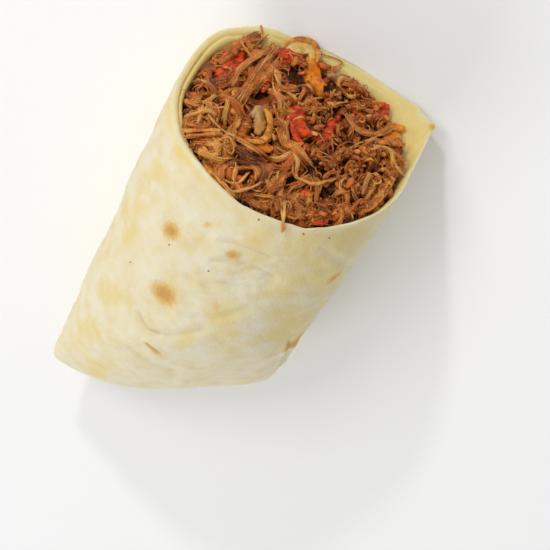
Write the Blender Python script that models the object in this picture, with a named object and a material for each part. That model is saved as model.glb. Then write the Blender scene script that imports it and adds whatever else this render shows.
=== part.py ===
"""One half of a burrito, cut on the bias, lying on its seam.

The cut faces -Y, the folded end points to +Y and the flat underside is at Z = 0.
The tortilla is a rolled sheet whose wall is two layers thick on the right and
below, and one layer thick elsewhere, with a sharp crease low on the left. The
filling is one heap of shredded meat that runs through it, and the pieces of
pepper and onion that show in the cut sit in sockets of that heap.

Lengths are in millimetres, and become metres where a mesh is made.
"""

import math
import random

import bmesh
import bpy
import numpy as np
from mathutils import Matrix, Vector

MM = 0.001

# The roll: half widths to the right and left of the axis, and its height,
# at stations from the cut (0) to the folded end (1).
STATIONS = (0.0, 0.1, 0.22, 0.35, 0.5, 0.68, 0.84, 1.0)
RIGHT = (33.4, 33.8, 33.0, 34.0, 34.0, 34.8, 34.6, 33.8)
LEFT = (33.6, 32.8, 32.0, 31.2, 30.0, 28.4, 26.6, 25.0)
HEIGHT = (62.0, 62.0, 60.5, 58.5, 55.5, 50.0, 42.0, 33.0)
MOUTH_MIDDLE = 31.0
BIAS = math.tan(math.radians(21.0))
ORIGIN_X = 0.6
ORIGIN_Y = 44.3
END_Y = 102.5
END_SLANT = 0.6
SLANT_FROM = 13.0
SQUARE_END_FROM = 0.9
SQUARE_END = 4.5
ROUND_END_FROM = 0.7
ROUND_END = 1.7
SINK = 0.9

# The sheet and how it is rolled. Angles go round the cut from the right side,
# 90 at the top, 180 at the left and 270 below.
SHEET = 2.0
DOUBLE = 4.3
END_WALL = 4.5
OUTER_EDGE_ANGLE = 244.0
INNER_EDGE_ANGLE = 62.0
EDGE_WIDTH_ANGLE = 0.8
LAYER_GAP_DEPTH = 5.0
RIM_WAVE = 0.42
SWELL = 0.55

# How square each quarter of the cut is: 2 is round, more is squarer.
UPPER_RIGHT, UPPER_LEFT, LOWER_LEFT, LOWER_RIGHT = 2.0, 2.05, 6.5, 2.7
FILLING_LOWER_LEFT = 2.3

CLEAR = 0.35
CORE_CLEAR = 0.7
AROUND = 54
WALL_STATIONS = 24
CORE_AROUND = 40
CORE_STATIONS = 8
FACE_RINGS = 7
DOME = 2.6
LUMP = 1.1

# Shredded meat fused on the face of the cut.
STRANDS = 72
STRAND_SIDES = 5
STRAND_STEPS = 5
STRAND_LENGTH = (10.0, 22.0)
STRAND_RADIUS = (0.9, 1.8)
HEAP_EDGE = (28.8, 28.4)
SEED = 12

# Pepper and onion pieces that show in the cut: place across and up the cut from
# its middle, turn in its plane in degrees, how far they stand out of the heap, how
# much narrower they get along their length, and size along, across and deep.
VEGETABLES = {
    "red_pepper_upper_right": ("red", 23.0, -9.6, 69.0, 0.4, 0.15, (10.8, 3.4, 3.2)),
    "red_pepper_low": ("red", 11.8, -22.6, 34.0, 0.4, 0.1, (7.6, 4.2, 3.2)),
    "red_pepper_middle": ("red", 0.0, -1.4, 137.0, 0.9, 0.42, (11.0, 5.8, 3.6)),
    "red_pepper_left_of_middle": ("red", -8.0, -3.4, 80.0, 0.5, 0.1, (9.4, 3.2, 3.2)),
    "red_pepper_left": ("red", -18.2, -22.4, 20.0, 0.4, 0.2, (5.2, 3.4, 3.0)),
    "orange_pepper_strip": ("orange", 1.2, -19.8, 129.0, 0.8, 0.3, (11.0, 3.4, 2.8)),
    "orange_pepper_left": ("orange", -24.2, -15.8, 12.0, 0.4, 0.1, (5.0, 4.0, 3.0)),
    "orange_pepper_right": ("orange", 8.2, 12.2, 177.0, 0.9, -0.15, (11.0, 2.7, 2.6)),
    "onion_low": ("onion", -3.0, -25.4, 34.0, 0.5, 0.0, (6.0, 2.7, 2.6)),
    "onion_over_the_rim": ("onion", 9.6, -27.4, 20.0, 2.7, 0.0, (9.4, 2.5, 2.2)),
    "onion_right_of_middle": ("onion", 9.6, 3.2, 111.0, 0.6, 0.1, (9.4, 4.8, 3.2)),
}
COLOURS = {
    "tortilla": ((0.83, 0.7, 0.44), 0.62),
    "meat": ((0.3, 0.1, 0.03), 0.45),
    "red": ((0.56, 0.04, 0.012), 0.3),
    "orange": ((0.72, 0.2, 0.02), 0.32),
    "onion": ((0.5, 0.34, 0.14), 0.28),
}


def material(name):
    """A Principled material in one of the named colours."""
    colour, roughness = COLOURS[name]
    made = bpy.data.materials.get(name) or bpy.data.materials.new(name)
    made.use_nodes = True
    shader = made.node_tree.nodes["Principled BSDF"]
    shader.inputs["Base Color"].default_value = (*colour, 1.0)
    shader.inputs["Roughness"].default_value = roughness
    shader.inputs["Metallic"].default_value = 0.0
    return made


def add_object(name, mesh, finish):
    """Links a mesh, in metres already, as one named object."""
    mesh.materials.append(material(finish))
    made = bpy.data.objects.new(name, mesh)
    bpy.context.scene.collection.objects.link(made)
    return made


def mesh_from(name, points, faces):
    """A closed mesh facing out, from points in millimetres."""
    made = bmesh.new()
    corners = [made.verts.new(p) for p in np.asarray(points) * MM]
    for face in faces:
        made.faces.new([corners[i] for i in face])
    bmesh.ops.recalc_face_normals(made, faces=made.faces)
    mesh = bpy.data.meshes.new(name)
    made.to_mesh(mesh)
    made.free()
    return mesh


def spline(x, knots, values):
    """A smooth curve through the values at the knots."""
    knots = np.asarray(knots, float)
    values = np.asarray(values, float)
    slopes = np.gradient(values, knots)
    i = np.clip(np.searchsorted(knots, x, side="right") - 1, 0, len(knots) - 2)
    width = knots[i + 1] - knots[i]
    f = (x - knots[i]) / width
    return (
        values[i] * (1 + 2 * f) * (1 - f) ** 2
        + slopes[i] * width * f * (1 - f) ** 2
        + values[i + 1] * f**2 * (3 - 2 * f)
        + slopes[i + 1] * width * f**2 * (f - 1)
    )


def between(angle, start, end, soft):
    """1 from start to end going up in degrees, 0 outside, with soft ends."""
    after = (angle - start) % 360.0
    span = (end - start) % 360.0
    rise = np.clip(after / soft, 0, 1)
    fall = np.clip((span - after) / soft, 0, 1)
    return np.where(after <= span, np.minimum(rise, fall), 0.0)


def swell(angle, s):
    """Low waves of the wall, in millimetres, dying out at the folded end."""
    a = np.radians(angle)
    waves = (
        0.5 * np.sin(2 * a + 7.0 * s + 0.6)
        + 0.34 * np.sin(3 * a - 11.0 * s + 2.1)
        + 0.26 * np.sin(5 * a + 15.0 * s + 4.0)
        + 0.3 * np.sin(a + 21.0 * s + 1.3)
    )
    return SWELL * waves * (1 - s**3)


def closing(s, start, power):
    """How much of the section is left at s: 1 up to start, 0 at the end."""
    f = np.clip((s - start) / (1 - start), 0, 1)
    return (1 - f**power) ** (1 / power)


def power_curve(c, exponent):
    """A cosine or sine, bent so that the curve it draws is squarer."""
    return np.sign(c) * np.abs(c) ** (2 / exponent)


def wall(angle, s, layers=0.0, clear=0.0, lower_left=LOWER_LEFT):
    """Points of the wall in millimetres: layers 0 is its outside, 1 its inside.

    The cut through the roll at s is four quarters of a power curve,
    |x / across| ** n + |z / along| ** n = 1, each with its own n.
    """
    angle, s = np.broadcast_arrays(np.asarray(angle, float), np.asarray(s, float))
    a = np.radians(angle)
    c, d = np.cos(a), np.sin(a)
    on_right, on_top = c > 0, d > 0
    exponent = np.where(
        on_top,
        np.where(on_right, UPPER_RIGHT, UPPER_LEFT),
        np.where(on_right, LOWER_RIGHT, lower_left),
    )
    middle = spline(s, STATIONS, HEIGHT) / 2
    right = spline(s, STATIONS, RIGHT) - layers * DOUBLE - clear
    left = spline(s, STATIONS, LEFT) - layers * SHEET - clear
    upper = middle - layers * SHEET - clear
    lower = middle + SINK - layers * DOUBLE - clear
    across = closing(s, SQUARE_END_FROM, SQUARE_END) * np.where(on_right, right, left)
    along = closing(s, ROUND_END_FROM, ROUND_END) * np.where(on_top, upper, lower)
    wave = swell(angle, s)
    x = (across + wave) * power_curve(c, exponent)
    z = middle + (along + wave) * power_curve(d, exponent)
    end = END_Y - END_SLANT * np.logaddexp(0, (SLANT_FROM - x) / 5) * 5
    end = end - layers * END_WALL - clear
    y = mouth_y(angle, z) * (1 - s) + end * s
    return np.stack([x - ORIGIN_X, y - ORIGIN_Y, z], axis=-1)


def mouth_y(angle, z):
    """How far back the cut is at a height, with the waves of its rim."""
    a = np.radians(angle)
    waves = np.sin(4 * a + 0.7) + 0.6 * np.sin(9 * a + 2.0)
    return (z - MOUTH_MIDDLE) * BIAS + RIM_WAVE * waves


def outside(angle, s):
    """The wall's outside, resting flat, with the step at the sheet's edge."""
    points = wall(angle, s)
    lifted = between(np.asarray(angle, float), 182.0, OUTER_EDGE_ANGLE, EDGE_WIDTH_ANGLE)
    floor = SHEET * lifted * np.clip((1 - np.asarray(s, float)) * 9, 0, 1)
    points[..., 2] = np.maximum(points[..., 2], floor)
    return points


def ring_faces(around, rings, first_pole=None, last_pole=None):
    """Quads between rings that follow each other, and fans to the poles."""
    faces = []
    for j in range(rings - 1):
        for i in range(around):
            k = (i + 1) % around
            a, b = j * around, (j + 1) * around
            faces.append((a + i, a + k, b + k, b + i))
    last = (rings - 1) * around
    for i in range(around):
        k = (i + 1) % around
        if first_pole is not None:
            faces.append((i, k, first_pole))
        if last_pole is not None:
            faces.append((last + k, last + i, last_pole))
    return faces


def wall_angles():
    """Angles round the cut, closer together at the crease and the sheet's edge."""
    even = np.arange(AROUND) * 360.0 / AROUND
    extra = [
        OUTER_EDGE_ANGLE - EDGE_WIDTH_ANGLE,
        OUTER_EDGE_ANGLE,
        217.0,
        222.0,
        229.0,
    ]
    kept = [a for a in even if min(abs(a - e) for e in extra) > 1.5]
    return np.sort(np.array(kept + extra))


def end_stations(count, start=0.0):
    """Stations from start to just short of 1, closer together at the end."""
    f = np.linspace(0, 1, count + 1)[:-1]
    return start + (1 - start) * np.sin(f * math.pi / 2) ** 0.92


def make_tortilla():
    """The sheet, from the folded end over the rim and back down its inside."""
    angles = wall_angles()
    outer = [outside(angles, s) for s in end_stations(WALL_STATIONS)]
    doubled = between(angles, OUTER_EDGE_ANGLE, INNER_EDGE_ANGLE, 8.0)
    depth = LAYER_GAP_DEPTH / END_Y
    rim = [
        wall(angles, 0.0, 0.45),
        wall(angles, depth * doubled, 0.5),
        wall(angles, 0.0, 0.55),
    ]
    inner = [wall(angles, s, 1.0) for s in end_stations(WALL_STATIONS // 2)]
    rings = outer[::-1] + rim + inner
    start = outside(0.0, 1.0)
    finish = wall(0.0, 1.0, 1.0)
    points = np.concatenate([*rings, [start, finish]])
    pole = len(rings) * len(angles)
    faces = ring_faces(len(angles), len(rings), pole, pole + 1)
    return add_object("tortilla", mesh_from("tortilla", points, faces), "tortilla")


def face_frame():
    """The middle of the cut, its directions across and up it, and its normal."""
    tilt = math.atan(BIAS)
    middle = Vector((-ORIGIN_X, -ORIGIN_Y, MOUTH_MIDDLE))
    across = Vector((1.0, 0.0, 0.0))
    up = Vector((0.0, math.sin(tilt), math.cos(tilt)))
    return middle, across, up, across.cross(up)


def face_height(x, v):
    """How far the heap stands out of the plane of the cut at a place on it."""
    far = np.clip((x / 30.0) ** 2 + (v / 31.0) ** 2, 0, 1)
    lumps = (
        np.sin(0.42 * x + 0.9) * np.sin(0.37 * v + 0.2)
        + 0.6 * np.sin(0.71 * x - 0.33 * v + 1.9)
        + 0.5 * np.sin(0.29 * x + 0.83 * v + 4.2)
    )
    return DOME * (1 - far) - 1.6 + LUMP * lumps * (1 - far**3)


def on_face(x, v, out=0.0):
    """The point at x across and v up the cut, out of the heap by so much."""
    middle, across, up, normal = face_frame()
    return middle + across * x + up * v + normal * (float(face_height(x, v)) + out)


def core_mesh():
    """The heap without its strands: it fills the roll with a lumpy front."""
    angles = np.arange(CORE_AROUND) * 360.0 / CORE_AROUND
    low = FILLING_LOWER_LEFT
    stations = end_stations(CORE_STATIONS, 0.03)
    side = [wall(angles, s, 1.0, CORE_CLEAR, low) for s in stations]
    middle, across, up, normal = (np.array(v) for v in face_frame())
    edge = side[0] - middle
    x, v = edge @ across, edge @ up
    rise = edge @ normal
    front = []
    for share in np.linspace(1, 0, FACE_RINGS + 1)[1:-1]:
        fx, fv = x * share, v * share
        out = face_height(fx, fv) * (1 - share**6) + rise * share**6
        front.append(
            middle + np.outer(fx, across) + np.outer(fv, up) + np.outer(out, normal)
        )
    rings = front[::-1] + side
    centre = np.array(on_face(0.0, 0.0))
    finish = wall(0.0, 1.0, 1.0, CORE_CLEAR, low)
    points = np.concatenate([*rings, [centre, finish]])
    pole = len(rings) * CORE_AROUND
    faces = ring_faces(CORE_AROUND, len(rings), pole, pole + 1)
    return mesh_from("filling", points, faces)


def vegetable_mesh(name, x, v, turn, out, narrow, size, grow=0.0):
    """A soft-edged cooked piece: a rounded slab, bent and pinched along its length."""
    made = bmesh.new()
    bmesh.ops.create_icosphere(made, subdivisions=2, radius=1.0)
    half = Vector(size) / 2
    middle, across, up, normal = face_frame()
    along = across * math.cos(math.radians(turn)) + up * math.sin(math.radians(turn))
    frame = Matrix((along, normal.cross(along), normal)).transposed()
    centre = on_face(x, v, out)
    for vert in made.verts:
        p = Vector(math.copysign(abs(c) ** 0.7, c) for c in vert.co)
        pinch = 1 - narrow * p.x + 0.1 * math.sin(5 * p.x + x)
        bend = 0.22 * half.x * (p.x**2 - 0.4)
        p = Vector((p.x * half.x, p.y * half.y * pinch, p.z * half.z))
        p.z += 0.5 * math.sin(2.2 * p.x / half.x + v)
        p = p + Vector((0.0, bend, 0.0)) + vert.co.normalized() * grow
        vert.co = (centre + frame @ p) * MM
    mesh = bpy.data.meshes.new(name)
    made.to_mesh(mesh)
    made.free()
    return mesh


def make_vegetables():
    """The pieces of pepper and onion, each on its own."""
    for name, (kind, *place) in VEGETABLES.items():
        add_object(name, vegetable_mesh(name, *place), kind)


def strand_path(x, v, turn, length, curl, out):
    """Points along a bent strand that lies on the heap and dips in at its ends."""
    points = []
    for i in range(STRAND_STEPS):
        f = 2 * i / (STRAND_STEPS - 1) - 1
        way = turn + curl * f
        px = x + math.cos(way) * f * length / 2
        pv = v + math.sin(way) * f * length / 2
        points.append((px, pv, out - 1.5 * f**4))
    return points


def clear_of_neighbours(path, radius):
    """Whether a strand stays inside the roll and off the pepper and onion."""
    for px, pv, _ in path:
        reach = (px / (HEAP_EDGE[0] - radius)) ** 2 + (pv / (HEAP_EDGE[1] - radius)) ** 2
        if reach > 1:
            return False
        for _, x, v, turn, _, _, size in VEGETABLES.values():
            a = math.radians(turn)
            dx, dv = px - x, pv - v
            along = abs(dx * math.cos(a) + dv * math.sin(a))
            aside = abs(dv * math.cos(a) - dx * math.sin(a))
            room = radius + 0.9
            if along < size[0] / 2 + room and aside < size[1] / 2 + room:
                return False
    return True


def strand_mesh(name, path, radius):
    """A tapered strand with few sides along its path."""
    centres = [on_face(px, pv, out) for px, pv, out in path]
    normal = face_frame()[3]
    rings = []
    for i, centre in enumerate(centres):
        ahead = centres[min(i + 1, len(centres) - 1)]
        behind = centres[max(i - 1, 0)]
        aside = (ahead - behind).cross(normal).normalized()
        f = 2 * i / (len(centres) - 1) - 1
        wide = radius * (1 - 0.45 * f * f)
        for k in range(STRAND_SIDES):
            a = 2 * math.pi * k / STRAND_SIDES + 0.4
            ring = aside * (math.cos(a) * wide * 1.25) + normal * (math.sin(a) * wide)
            rings.append(centre + ring)
    count = len(centres)
    faces = ring_faces(STRAND_SIDES, count)
    faces.append(tuple(range(STRAND_SIDES)))
    faces.append(tuple((count - 1) * STRAND_SIDES + k for k in range(STRAND_SIDES)))
    return mesh_from(name, rings, faces)


def strand_meshes():
    """Strands spread evenly over the cut in a spiral, each bent its own way."""
    draw = random.Random(SEED)
    made = []
    for i in range(4 * STRANDS):
        if len(made) == STRANDS:
            break
        reach = 27.5 * math.sqrt((i + 0.5) / (1.9 * STRANDS))
        round_turn = i * math.radians(137.5)
        x, v = reach * math.cos(round_turn), reach * math.sin(round_turn)
        turn = draw.uniform(0, math.pi)
        length = draw.uniform(*STRAND_LENGTH)
        curl = draw.uniform(-0.7, 0.7)
        radius = draw.uniform(*STRAND_RADIUS)
        out = draw.uniform(0.1, 1.3)
        while length > 5:
            path = strand_path(x, v, turn, length, curl, out)
            if clear_of_neighbours(path, radius):
                made.append(strand_mesh(f"strand_{i}", path, radius))
                break
            length *= 0.8
    return made


def helper_collection(name, meshes):
    """Objects for a Boolean, in a collection that isn't rendered."""
    made = bpy.data.collections.new(name)
    bpy.context.scene.collection.children.link(made)
    made.hide_render = True
    for mesh in meshes:
        helper = bpy.data.objects.new(mesh.name, mesh)
        helper.hide_render = True
        helper.display_type = "WIRE"
        made.objects.link(helper)
    return made


def apply_booleans(target, steps):
    """Applies the Booleans in order, then removes their collections' objects."""
    for operation, collection in steps:
        step = target.modifiers.new(operation, "BOOLEAN")
        step.operation = operation
        step.operand_type = "COLLECTION"
        step.collection = collection
        step.solver = "MANIFOLD"
    graph = bpy.context.evaluated_depsgraph_get()
    mesh = bpy.data.meshes.new_from_object(target.evaluated_get(graph))
    target.modifiers.clear()
    target.data = mesh
    for _, collection in steps:
        for helper in list(collection.objects):
            bpy.data.objects.remove(helper)
        bpy.data.collections.remove(collection)


def keep_outer_shell(mesh):
    """Drops loose scraps and the walls of hidden hollows: the largest piece stays."""
    whole = bmesh.new()
    whole.from_mesh(mesh)
    left = set(whole.verts)
    pieces = []
    while left:
        piece, edge = set(), [left.pop()]
        while edge:
            vert = edge.pop()
            piece.add(vert)
            for link in vert.link_edges:
                other = link.other_vert(vert)
                if other in left:
                    left.discard(other)
                    edge.append(other)
        pieces.append(piece)
    largest = max(pieces, key=len)
    loose = [v for v in whole.verts if v not in largest]
    bmesh.ops.delete(whole, geom=loose, context="VERTS")
    whole.to_mesh(mesh)
    whole.free()


def make_filling():
    """The heap: its core, the strands fused on, and the sockets of the pieces in it."""
    filling = add_object("filling", core_mesh(), "meat")
    strands = helper_collection("strands", strand_meshes())
    sockets = helper_collection(
        "sockets",
        [
            vegetable_mesh(f"socket_{name}", *place, CLEAR)
            for name, (_, *place) in VEGETABLES.items()
        ],
    )
    apply_booleans(filling, [("UNION", strands), ("DIFFERENCE", sockets)])
    keep_outer_shell(filling.data)


def main():
    """Clears the scene and models the half."""
    for old in list(bpy.data.objects):
        bpy.data.objects.remove(old)
    tortilla = make_tortilla()
    tortilla.data.shade_smooth()
    tortilla.data.set_sharp_from_angle(angle=math.radians(40))
    make_filling()
    make_vegetables()


main()
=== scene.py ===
"""The looks of a burrito half: a rolled flour tortilla packed with shredded meat.

Shapes are worked out in millimetres and become metres where a mesh is made. The roll
lies along Y with its cut towards -Y. A place on the roll is an angle round it, in
degrees from +X over the top, and s, from the cut (0) to the folded end (1). A place
on the cut is x across and v up its plane from its middle, with out as the height
above the heap of meat there.
"""

import math

import bpy
import numpy as np
from mathutils import Matrix, Vector


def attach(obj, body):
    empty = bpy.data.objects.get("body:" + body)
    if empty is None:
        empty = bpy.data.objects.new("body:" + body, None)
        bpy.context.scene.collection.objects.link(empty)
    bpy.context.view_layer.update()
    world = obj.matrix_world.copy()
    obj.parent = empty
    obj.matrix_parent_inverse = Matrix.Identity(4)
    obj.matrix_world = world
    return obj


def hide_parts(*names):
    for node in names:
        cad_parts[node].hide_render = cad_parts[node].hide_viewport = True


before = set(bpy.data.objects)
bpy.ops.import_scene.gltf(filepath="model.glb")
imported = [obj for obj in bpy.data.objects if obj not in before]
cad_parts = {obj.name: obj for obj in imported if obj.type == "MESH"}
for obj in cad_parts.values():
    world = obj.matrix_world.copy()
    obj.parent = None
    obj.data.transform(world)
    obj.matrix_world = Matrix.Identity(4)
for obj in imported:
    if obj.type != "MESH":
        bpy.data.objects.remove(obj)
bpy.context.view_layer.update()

MM = 0.001

# The roll: half widths to the right and left of its axis and its height, at stations
# from the cut (0) to the folded end (1). It differs a little from the solids' roll, to
# follow the photograph: the cut leans more, its lower left corner is lifted, and the
# right side is wider at the cut and narrower and squarer at the folded end.
STATIONS = (0.0, 0.1, 0.22, 0.35, 0.5, 0.68, 0.84, 1.0)
RIGHT = (34.2, 34.3, 33.9, 34.4, 33.9, 33.6, 33.1, 32.6)
LEFT = (33.6, 32.8, 32.0, 31.2, 30.0, 28.4, 26.6, 25.0)
HEIGHT = (62.0, 62.0, 60.5, 58.5, 55.5, 50.0, 42.0, 33.0)
MOUTH_MIDDLE = 31.0
TILT = math.radians(22.5)
ORIGIN_X = 0.6
ORIGIN_Y = 44.3
END_Y = 103.4
END_SLANT = 0.64
SLANT_FROM = 13.0
SLANT_SOFT = 5
SQUARE_END_FROM = 0.9
SQUARE_END = 7.5
ROUND_END_FROM = 0.7
ROUND_END = 1.7
SINK = 0.9
CORNER_LIFT = 6.5
CORNER_FROM = 6.0
CORNER_FADE = 0.22
CORNER_ANGLE = 223.0
CORNER_PULL = 1.6
CORNER_PULL_ANGLE = 14.0
CORNER_SHARPER = 5.0
CORNER_SHARP_FADE = 1.5
SHEET = 2.0
DOUBLE = 4.3
END_WALL = 4.5
OUTER_EDGE_ANGLE = 244.0
INNER_EDGE_ANGLE = 62.0
EDGE_WIDTH_ANGLE = 0.8
RIM_WAVE = 0.42
SWELL = 0.55
# How square each quarter of the section is: 2 is round, more is squarer
UPPER_RIGHT, UPPER_LEFT, LOWER_LEFT, LOWER_RIGHT = 2.0, 2.05, 6.5, 2.7
FILLING_LOWER_LEFT = 2.3
DOME = 2.6
LUMP = 1.1
HEAP_SUNK = 1.6
HEAP_HALF_WIDTH = 30.0
HEAP_HALF_HEIGHT = 31.0

# How finely the pieces are made: points round and along them
ROUND_ROLL = 264
ALONG_ROLL = 225
ALONG_INSIDE = 26
ROUND_CORE = 220
CORE_RINGS = 64
ALONG_CORE = 14
BODY_STEPS = 16
BODY_SIDES = 12
FIBRE_STEPS = 12
FIBRE_SIDES = 5
LUMP_STEPS = 7
LUMP_SIDES = 10
RIBBON_STEPS = 40
RIBBON_SIDES = 20
SLAB_STEPS = 44
SLAB_SIDES = 30

# The noise: a shift of its lattice for each seed, and the factors that mix its corners
LATTICE_SHIFT = 31.7
SEED_FACTOR = 7919
MIX_FACTORS = (2654435761, 2246822519)
LOW_32_BITS = 0xFFFFFFFF
LOW_16_BITS = 0xFFFF

# The camera, where the photograph's was
PHOTO_SIDE = 550
PHOTO_SCALE = 3.7
CUT_MIDDLE_PX = (295.0, 130.0)
ELEVATION = math.radians(65.0)
ROLL = math.radians(62.6)
DISTANCE = 1000.0
SENSOR = 36.0
# A normal that points less towards the camera than this is on a hidden side
EDGE_ON = 0.05

# Lights: how far towards the camera, up and right in the picture they stand, distance and
# size in metres, and power in watts
LIGHTS = {
    "key_light": ((0.9, 0.24, -0.42), 1.2, 0.4, 3.0),
    "fill_light": ((0.15, -0.75, -0.7), 1.3, 0.8, 6.2),
    "glint_light": ((0.8, 0.6, -0.2), 1.1, 0.08, 2.4),
}
SKY_STRENGTH = 0.5
FLOOR_HALF_SIDE = 3.0

# Pepper and onion pieces, as the solids have them: place on the cut, turn in its
# plane, height, narrowing along the length, and size along, across and deep
VEGETABLES = {
    "red_pepper_upper_right": (23.0, -9.6, 69.0, 0.4, 0.15, (10.8, 3.4, 3.2)),
    "red_pepper_low": (11.8, -22.6, 34.0, 0.4, 0.1, (7.6, 4.2, 3.2)),
    "red_pepper_middle": (0.0, -1.4, 137.0, 0.9, 0.42, (11.0, 5.8, 3.6)),
    "red_pepper_left_of_middle": (-8.0, -3.4, 80.0, 0.5, 0.1, (9.4, 3.2, 3.2)),
    "red_pepper_left": (-18.2, -22.4, 20.0, 0.4, 0.2, (5.2, 3.4, 3.0)),
    "orange_pepper_strip": (1.2, -19.8, 129.0, 0.8, 0.3, (11.0, 3.4, 2.8)),
    "orange_pepper_left": (-24.2, -15.8, 12.0, 0.4, 0.1, (5.0, 4.0, 3.0)),
    "orange_pepper_right": (8.2, 12.2, 177.0, 0.9, -0.15, (11.0, 2.7, 2.6)),
    "onion_low": (-3.0, -25.4, 34.0, 0.5, 0.0, (6.0, 2.7, 2.6)),
    "onion_over_the_rim": (9.6, -27.4, 20.0, 2.7, 0.0, (9.4, 2.5, 2.2)),
    "onion_right_of_middle": (9.6, 3.2, 111.0, 0.6, 0.1, (9.4, 4.8, 3.2)),
}

# Toasted spots on the long side, and painted shade in the slit: place in the photograph, half length and
# half width in mm, turn in degrees, strength
TOASTED_SEEN = {
    "near the cut": ((171.0, 231.0), 2.3, 1.8, 50.0, 0.95),
    "near the fold": ((164.0, 294.0), 3.6, 2.3, 40.0, 1.0),
    "its upper end": ((160.0, 289.0), 2.0, 1.4, 20.0, 0.8),
    "on the shaded side": ((233.0, 255.0), 1.9, 1.4, 10.0, 0.8),
    "faint, above the middle": ((207.7, 225.0), 1.2, 0.9, 10.0, 0.5),
    "faint, below the middle": ((216.0, 305.4), 2.0, 1.0, 70.0, 0.4),
    "on the crease": ((433.5, 127.0), 1.0, 0.8, 0.0, 0.9),
    # A thin dark line in the slit: painted shade
    "along the slit": ((153.0, 348.5), 2.6, 0.35, 38.0, 0.9),
}
# Tiny dark specks: places in the photograph
SPECKS_SEEN = (
    (170.0, 246.0), (303.0, 233.5), (261.0, 218.5), (207.0, 271.0), (131.0, 262.0), (329.0, 238.0),
)
CORNER_SPOT_PX = (432.0, 126.5)
# Toasted spots where the photograph doesn't look: angle, s, radius, strength
TOASTED_HIDDEN = {
    "left, near the cut": (150.0, 0.3, 2.6, 0.9),
    "left, low": (192.0, 0.5, 2.2, 0.8),
    "left, near the end": (160.0, 0.72, 3.0, 0.9),
    "right, low": (330.0, 0.36, 2.4, 0.8),
    "right, near the end": (345.0, 0.74, 2.0, 0.7),
    "under": (270.0, 0.5, 3.0, 0.8),
}
# Yellower patches, some real and some painted shade: place in the photograph and radius in mm
YELLOW_AND_SHADE_SEEN = {
    "along the edge": ((136.0, 208.0), 5.0),
    "left of the middle": ((111.0, 292.0), 5.5),
    "by the corner": ((87.0, 334.0), 6.5),
    "by the upper spot": ((130.0, 237.0), 4.0),
    "in the fold": ((182.0, 338.0), 3.6),
    "at the end": ((98.0, 371.0), 4.5),
    # The patches on the right and low on the right, all but the one by the left rim, are painted shade on
    # the shaded side.
    "below the cut": ((158.0, 172.0), 4.5), "on the shaded side": ((262.0, 247.0), 6.5),
    "further right": ((300.0, 243.0), 7.0), "under the rim": ((330.0, 240.0), 6.0),
    "low on the right": ((224.0, 318.0), 7.0), "by the left rim": ((186.0, 150.0), 5.0),
    "far right": ((352.0, 232.0), 7.0), "along the right edge": ((322.0, 275.0), 9.0),
    "right of the middle": ((292.0, 280.0), 8.0), "low at the right edge": ((290.0, 325.0), 9.0),
}
# Creases: places in the photograph that they run through, depth and width in mm
CREASES_SEEN = {
    "fold over the end": (((138.5, 313.0), (141.5, 322.0), (148.0, 330.0), (158.0, 334.0)), 0.4, 0.6),
    "soft fold after it": (((158.0, 334.0), (172.0, 335.5), (188.0, 333.0), (203.0, 329.0)), 0.25, 1.3),
    "slit by the end": (((145.5, 343.0), (152.0, 348.0), (159.5, 353.5)), 0.45, 0.4),
    "pull from the cut": (((222.0, 241.0), (235.0, 243.5), (249.0, 249.0), (270.0, 258.0)), 0.3, 0.8),
    "second pull": (((212.0, 262.0), (230.0, 262.0), (252.0, 268.0), (274.0, 279.0)), 0.22, 0.8),
    "third pull": (((205.0, 284.0), (226.0, 285.0), (250.0, 292.0)), 0.2, 0.9),
    "long fold": (((141.0, 283.0), (152.0, 301.0), (166.0, 312.0)), 0.15, 1.2),
    "ridge of the tuck": (((128.0, 349.0), (140.0, 358.0), (152.0, 365.0), (172.0, 371.0)), 0.28, 1.6),
    "pull above the fold": (((196.0, 316.0), (214.0, 318.0), (232.0, 314.0), (248.0, 308.0)), 0.2, 0.9),
    "pull under the rim": (((248.0, 232.0), (262.0, 240.0), (280.0, 246.0), (298.0, 248.0)), 0.16, 0.8),
}

# Creases of the folded end where the photograph doesn't look: angles and s that they run
# through, depth and width in mm
CREASES_HIDDEN = {
    "tuck on the left": (((205.0, 0.62), (196.0, 0.8), (190.0, 0.93), (200.0, 0.985)), 0.7, 0.9),
    "fold over it": (((150.0, 0.66), (165.0, 0.8), (176.0, 0.92), (182.0, 0.975)), 0.5, 0.9),
    "tuck on the right": (((338.0, 0.66), (346.0, 0.82), (350.0, 0.93), (345.0, 0.985)), 0.6, 0.9),
    "short fold on the right": (((8.0, 0.8), (0.0, 0.9), (356.0, 0.97)), 0.4, 0.8),
    "pull on the left": (((130.0, 0.1), (146.0, 0.2), (168.0, 0.33)), 0.3, 1.2),
    "second pull on the left": (((160.0, 0.4), (172.0, 0.5), (186.0, 0.58)), 0.3, 1.2),
    "pull on the right": (((350.0, 0.12), (340.0, 0.25), (334.0, 0.42)), 0.3, 1.2),
}

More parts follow.
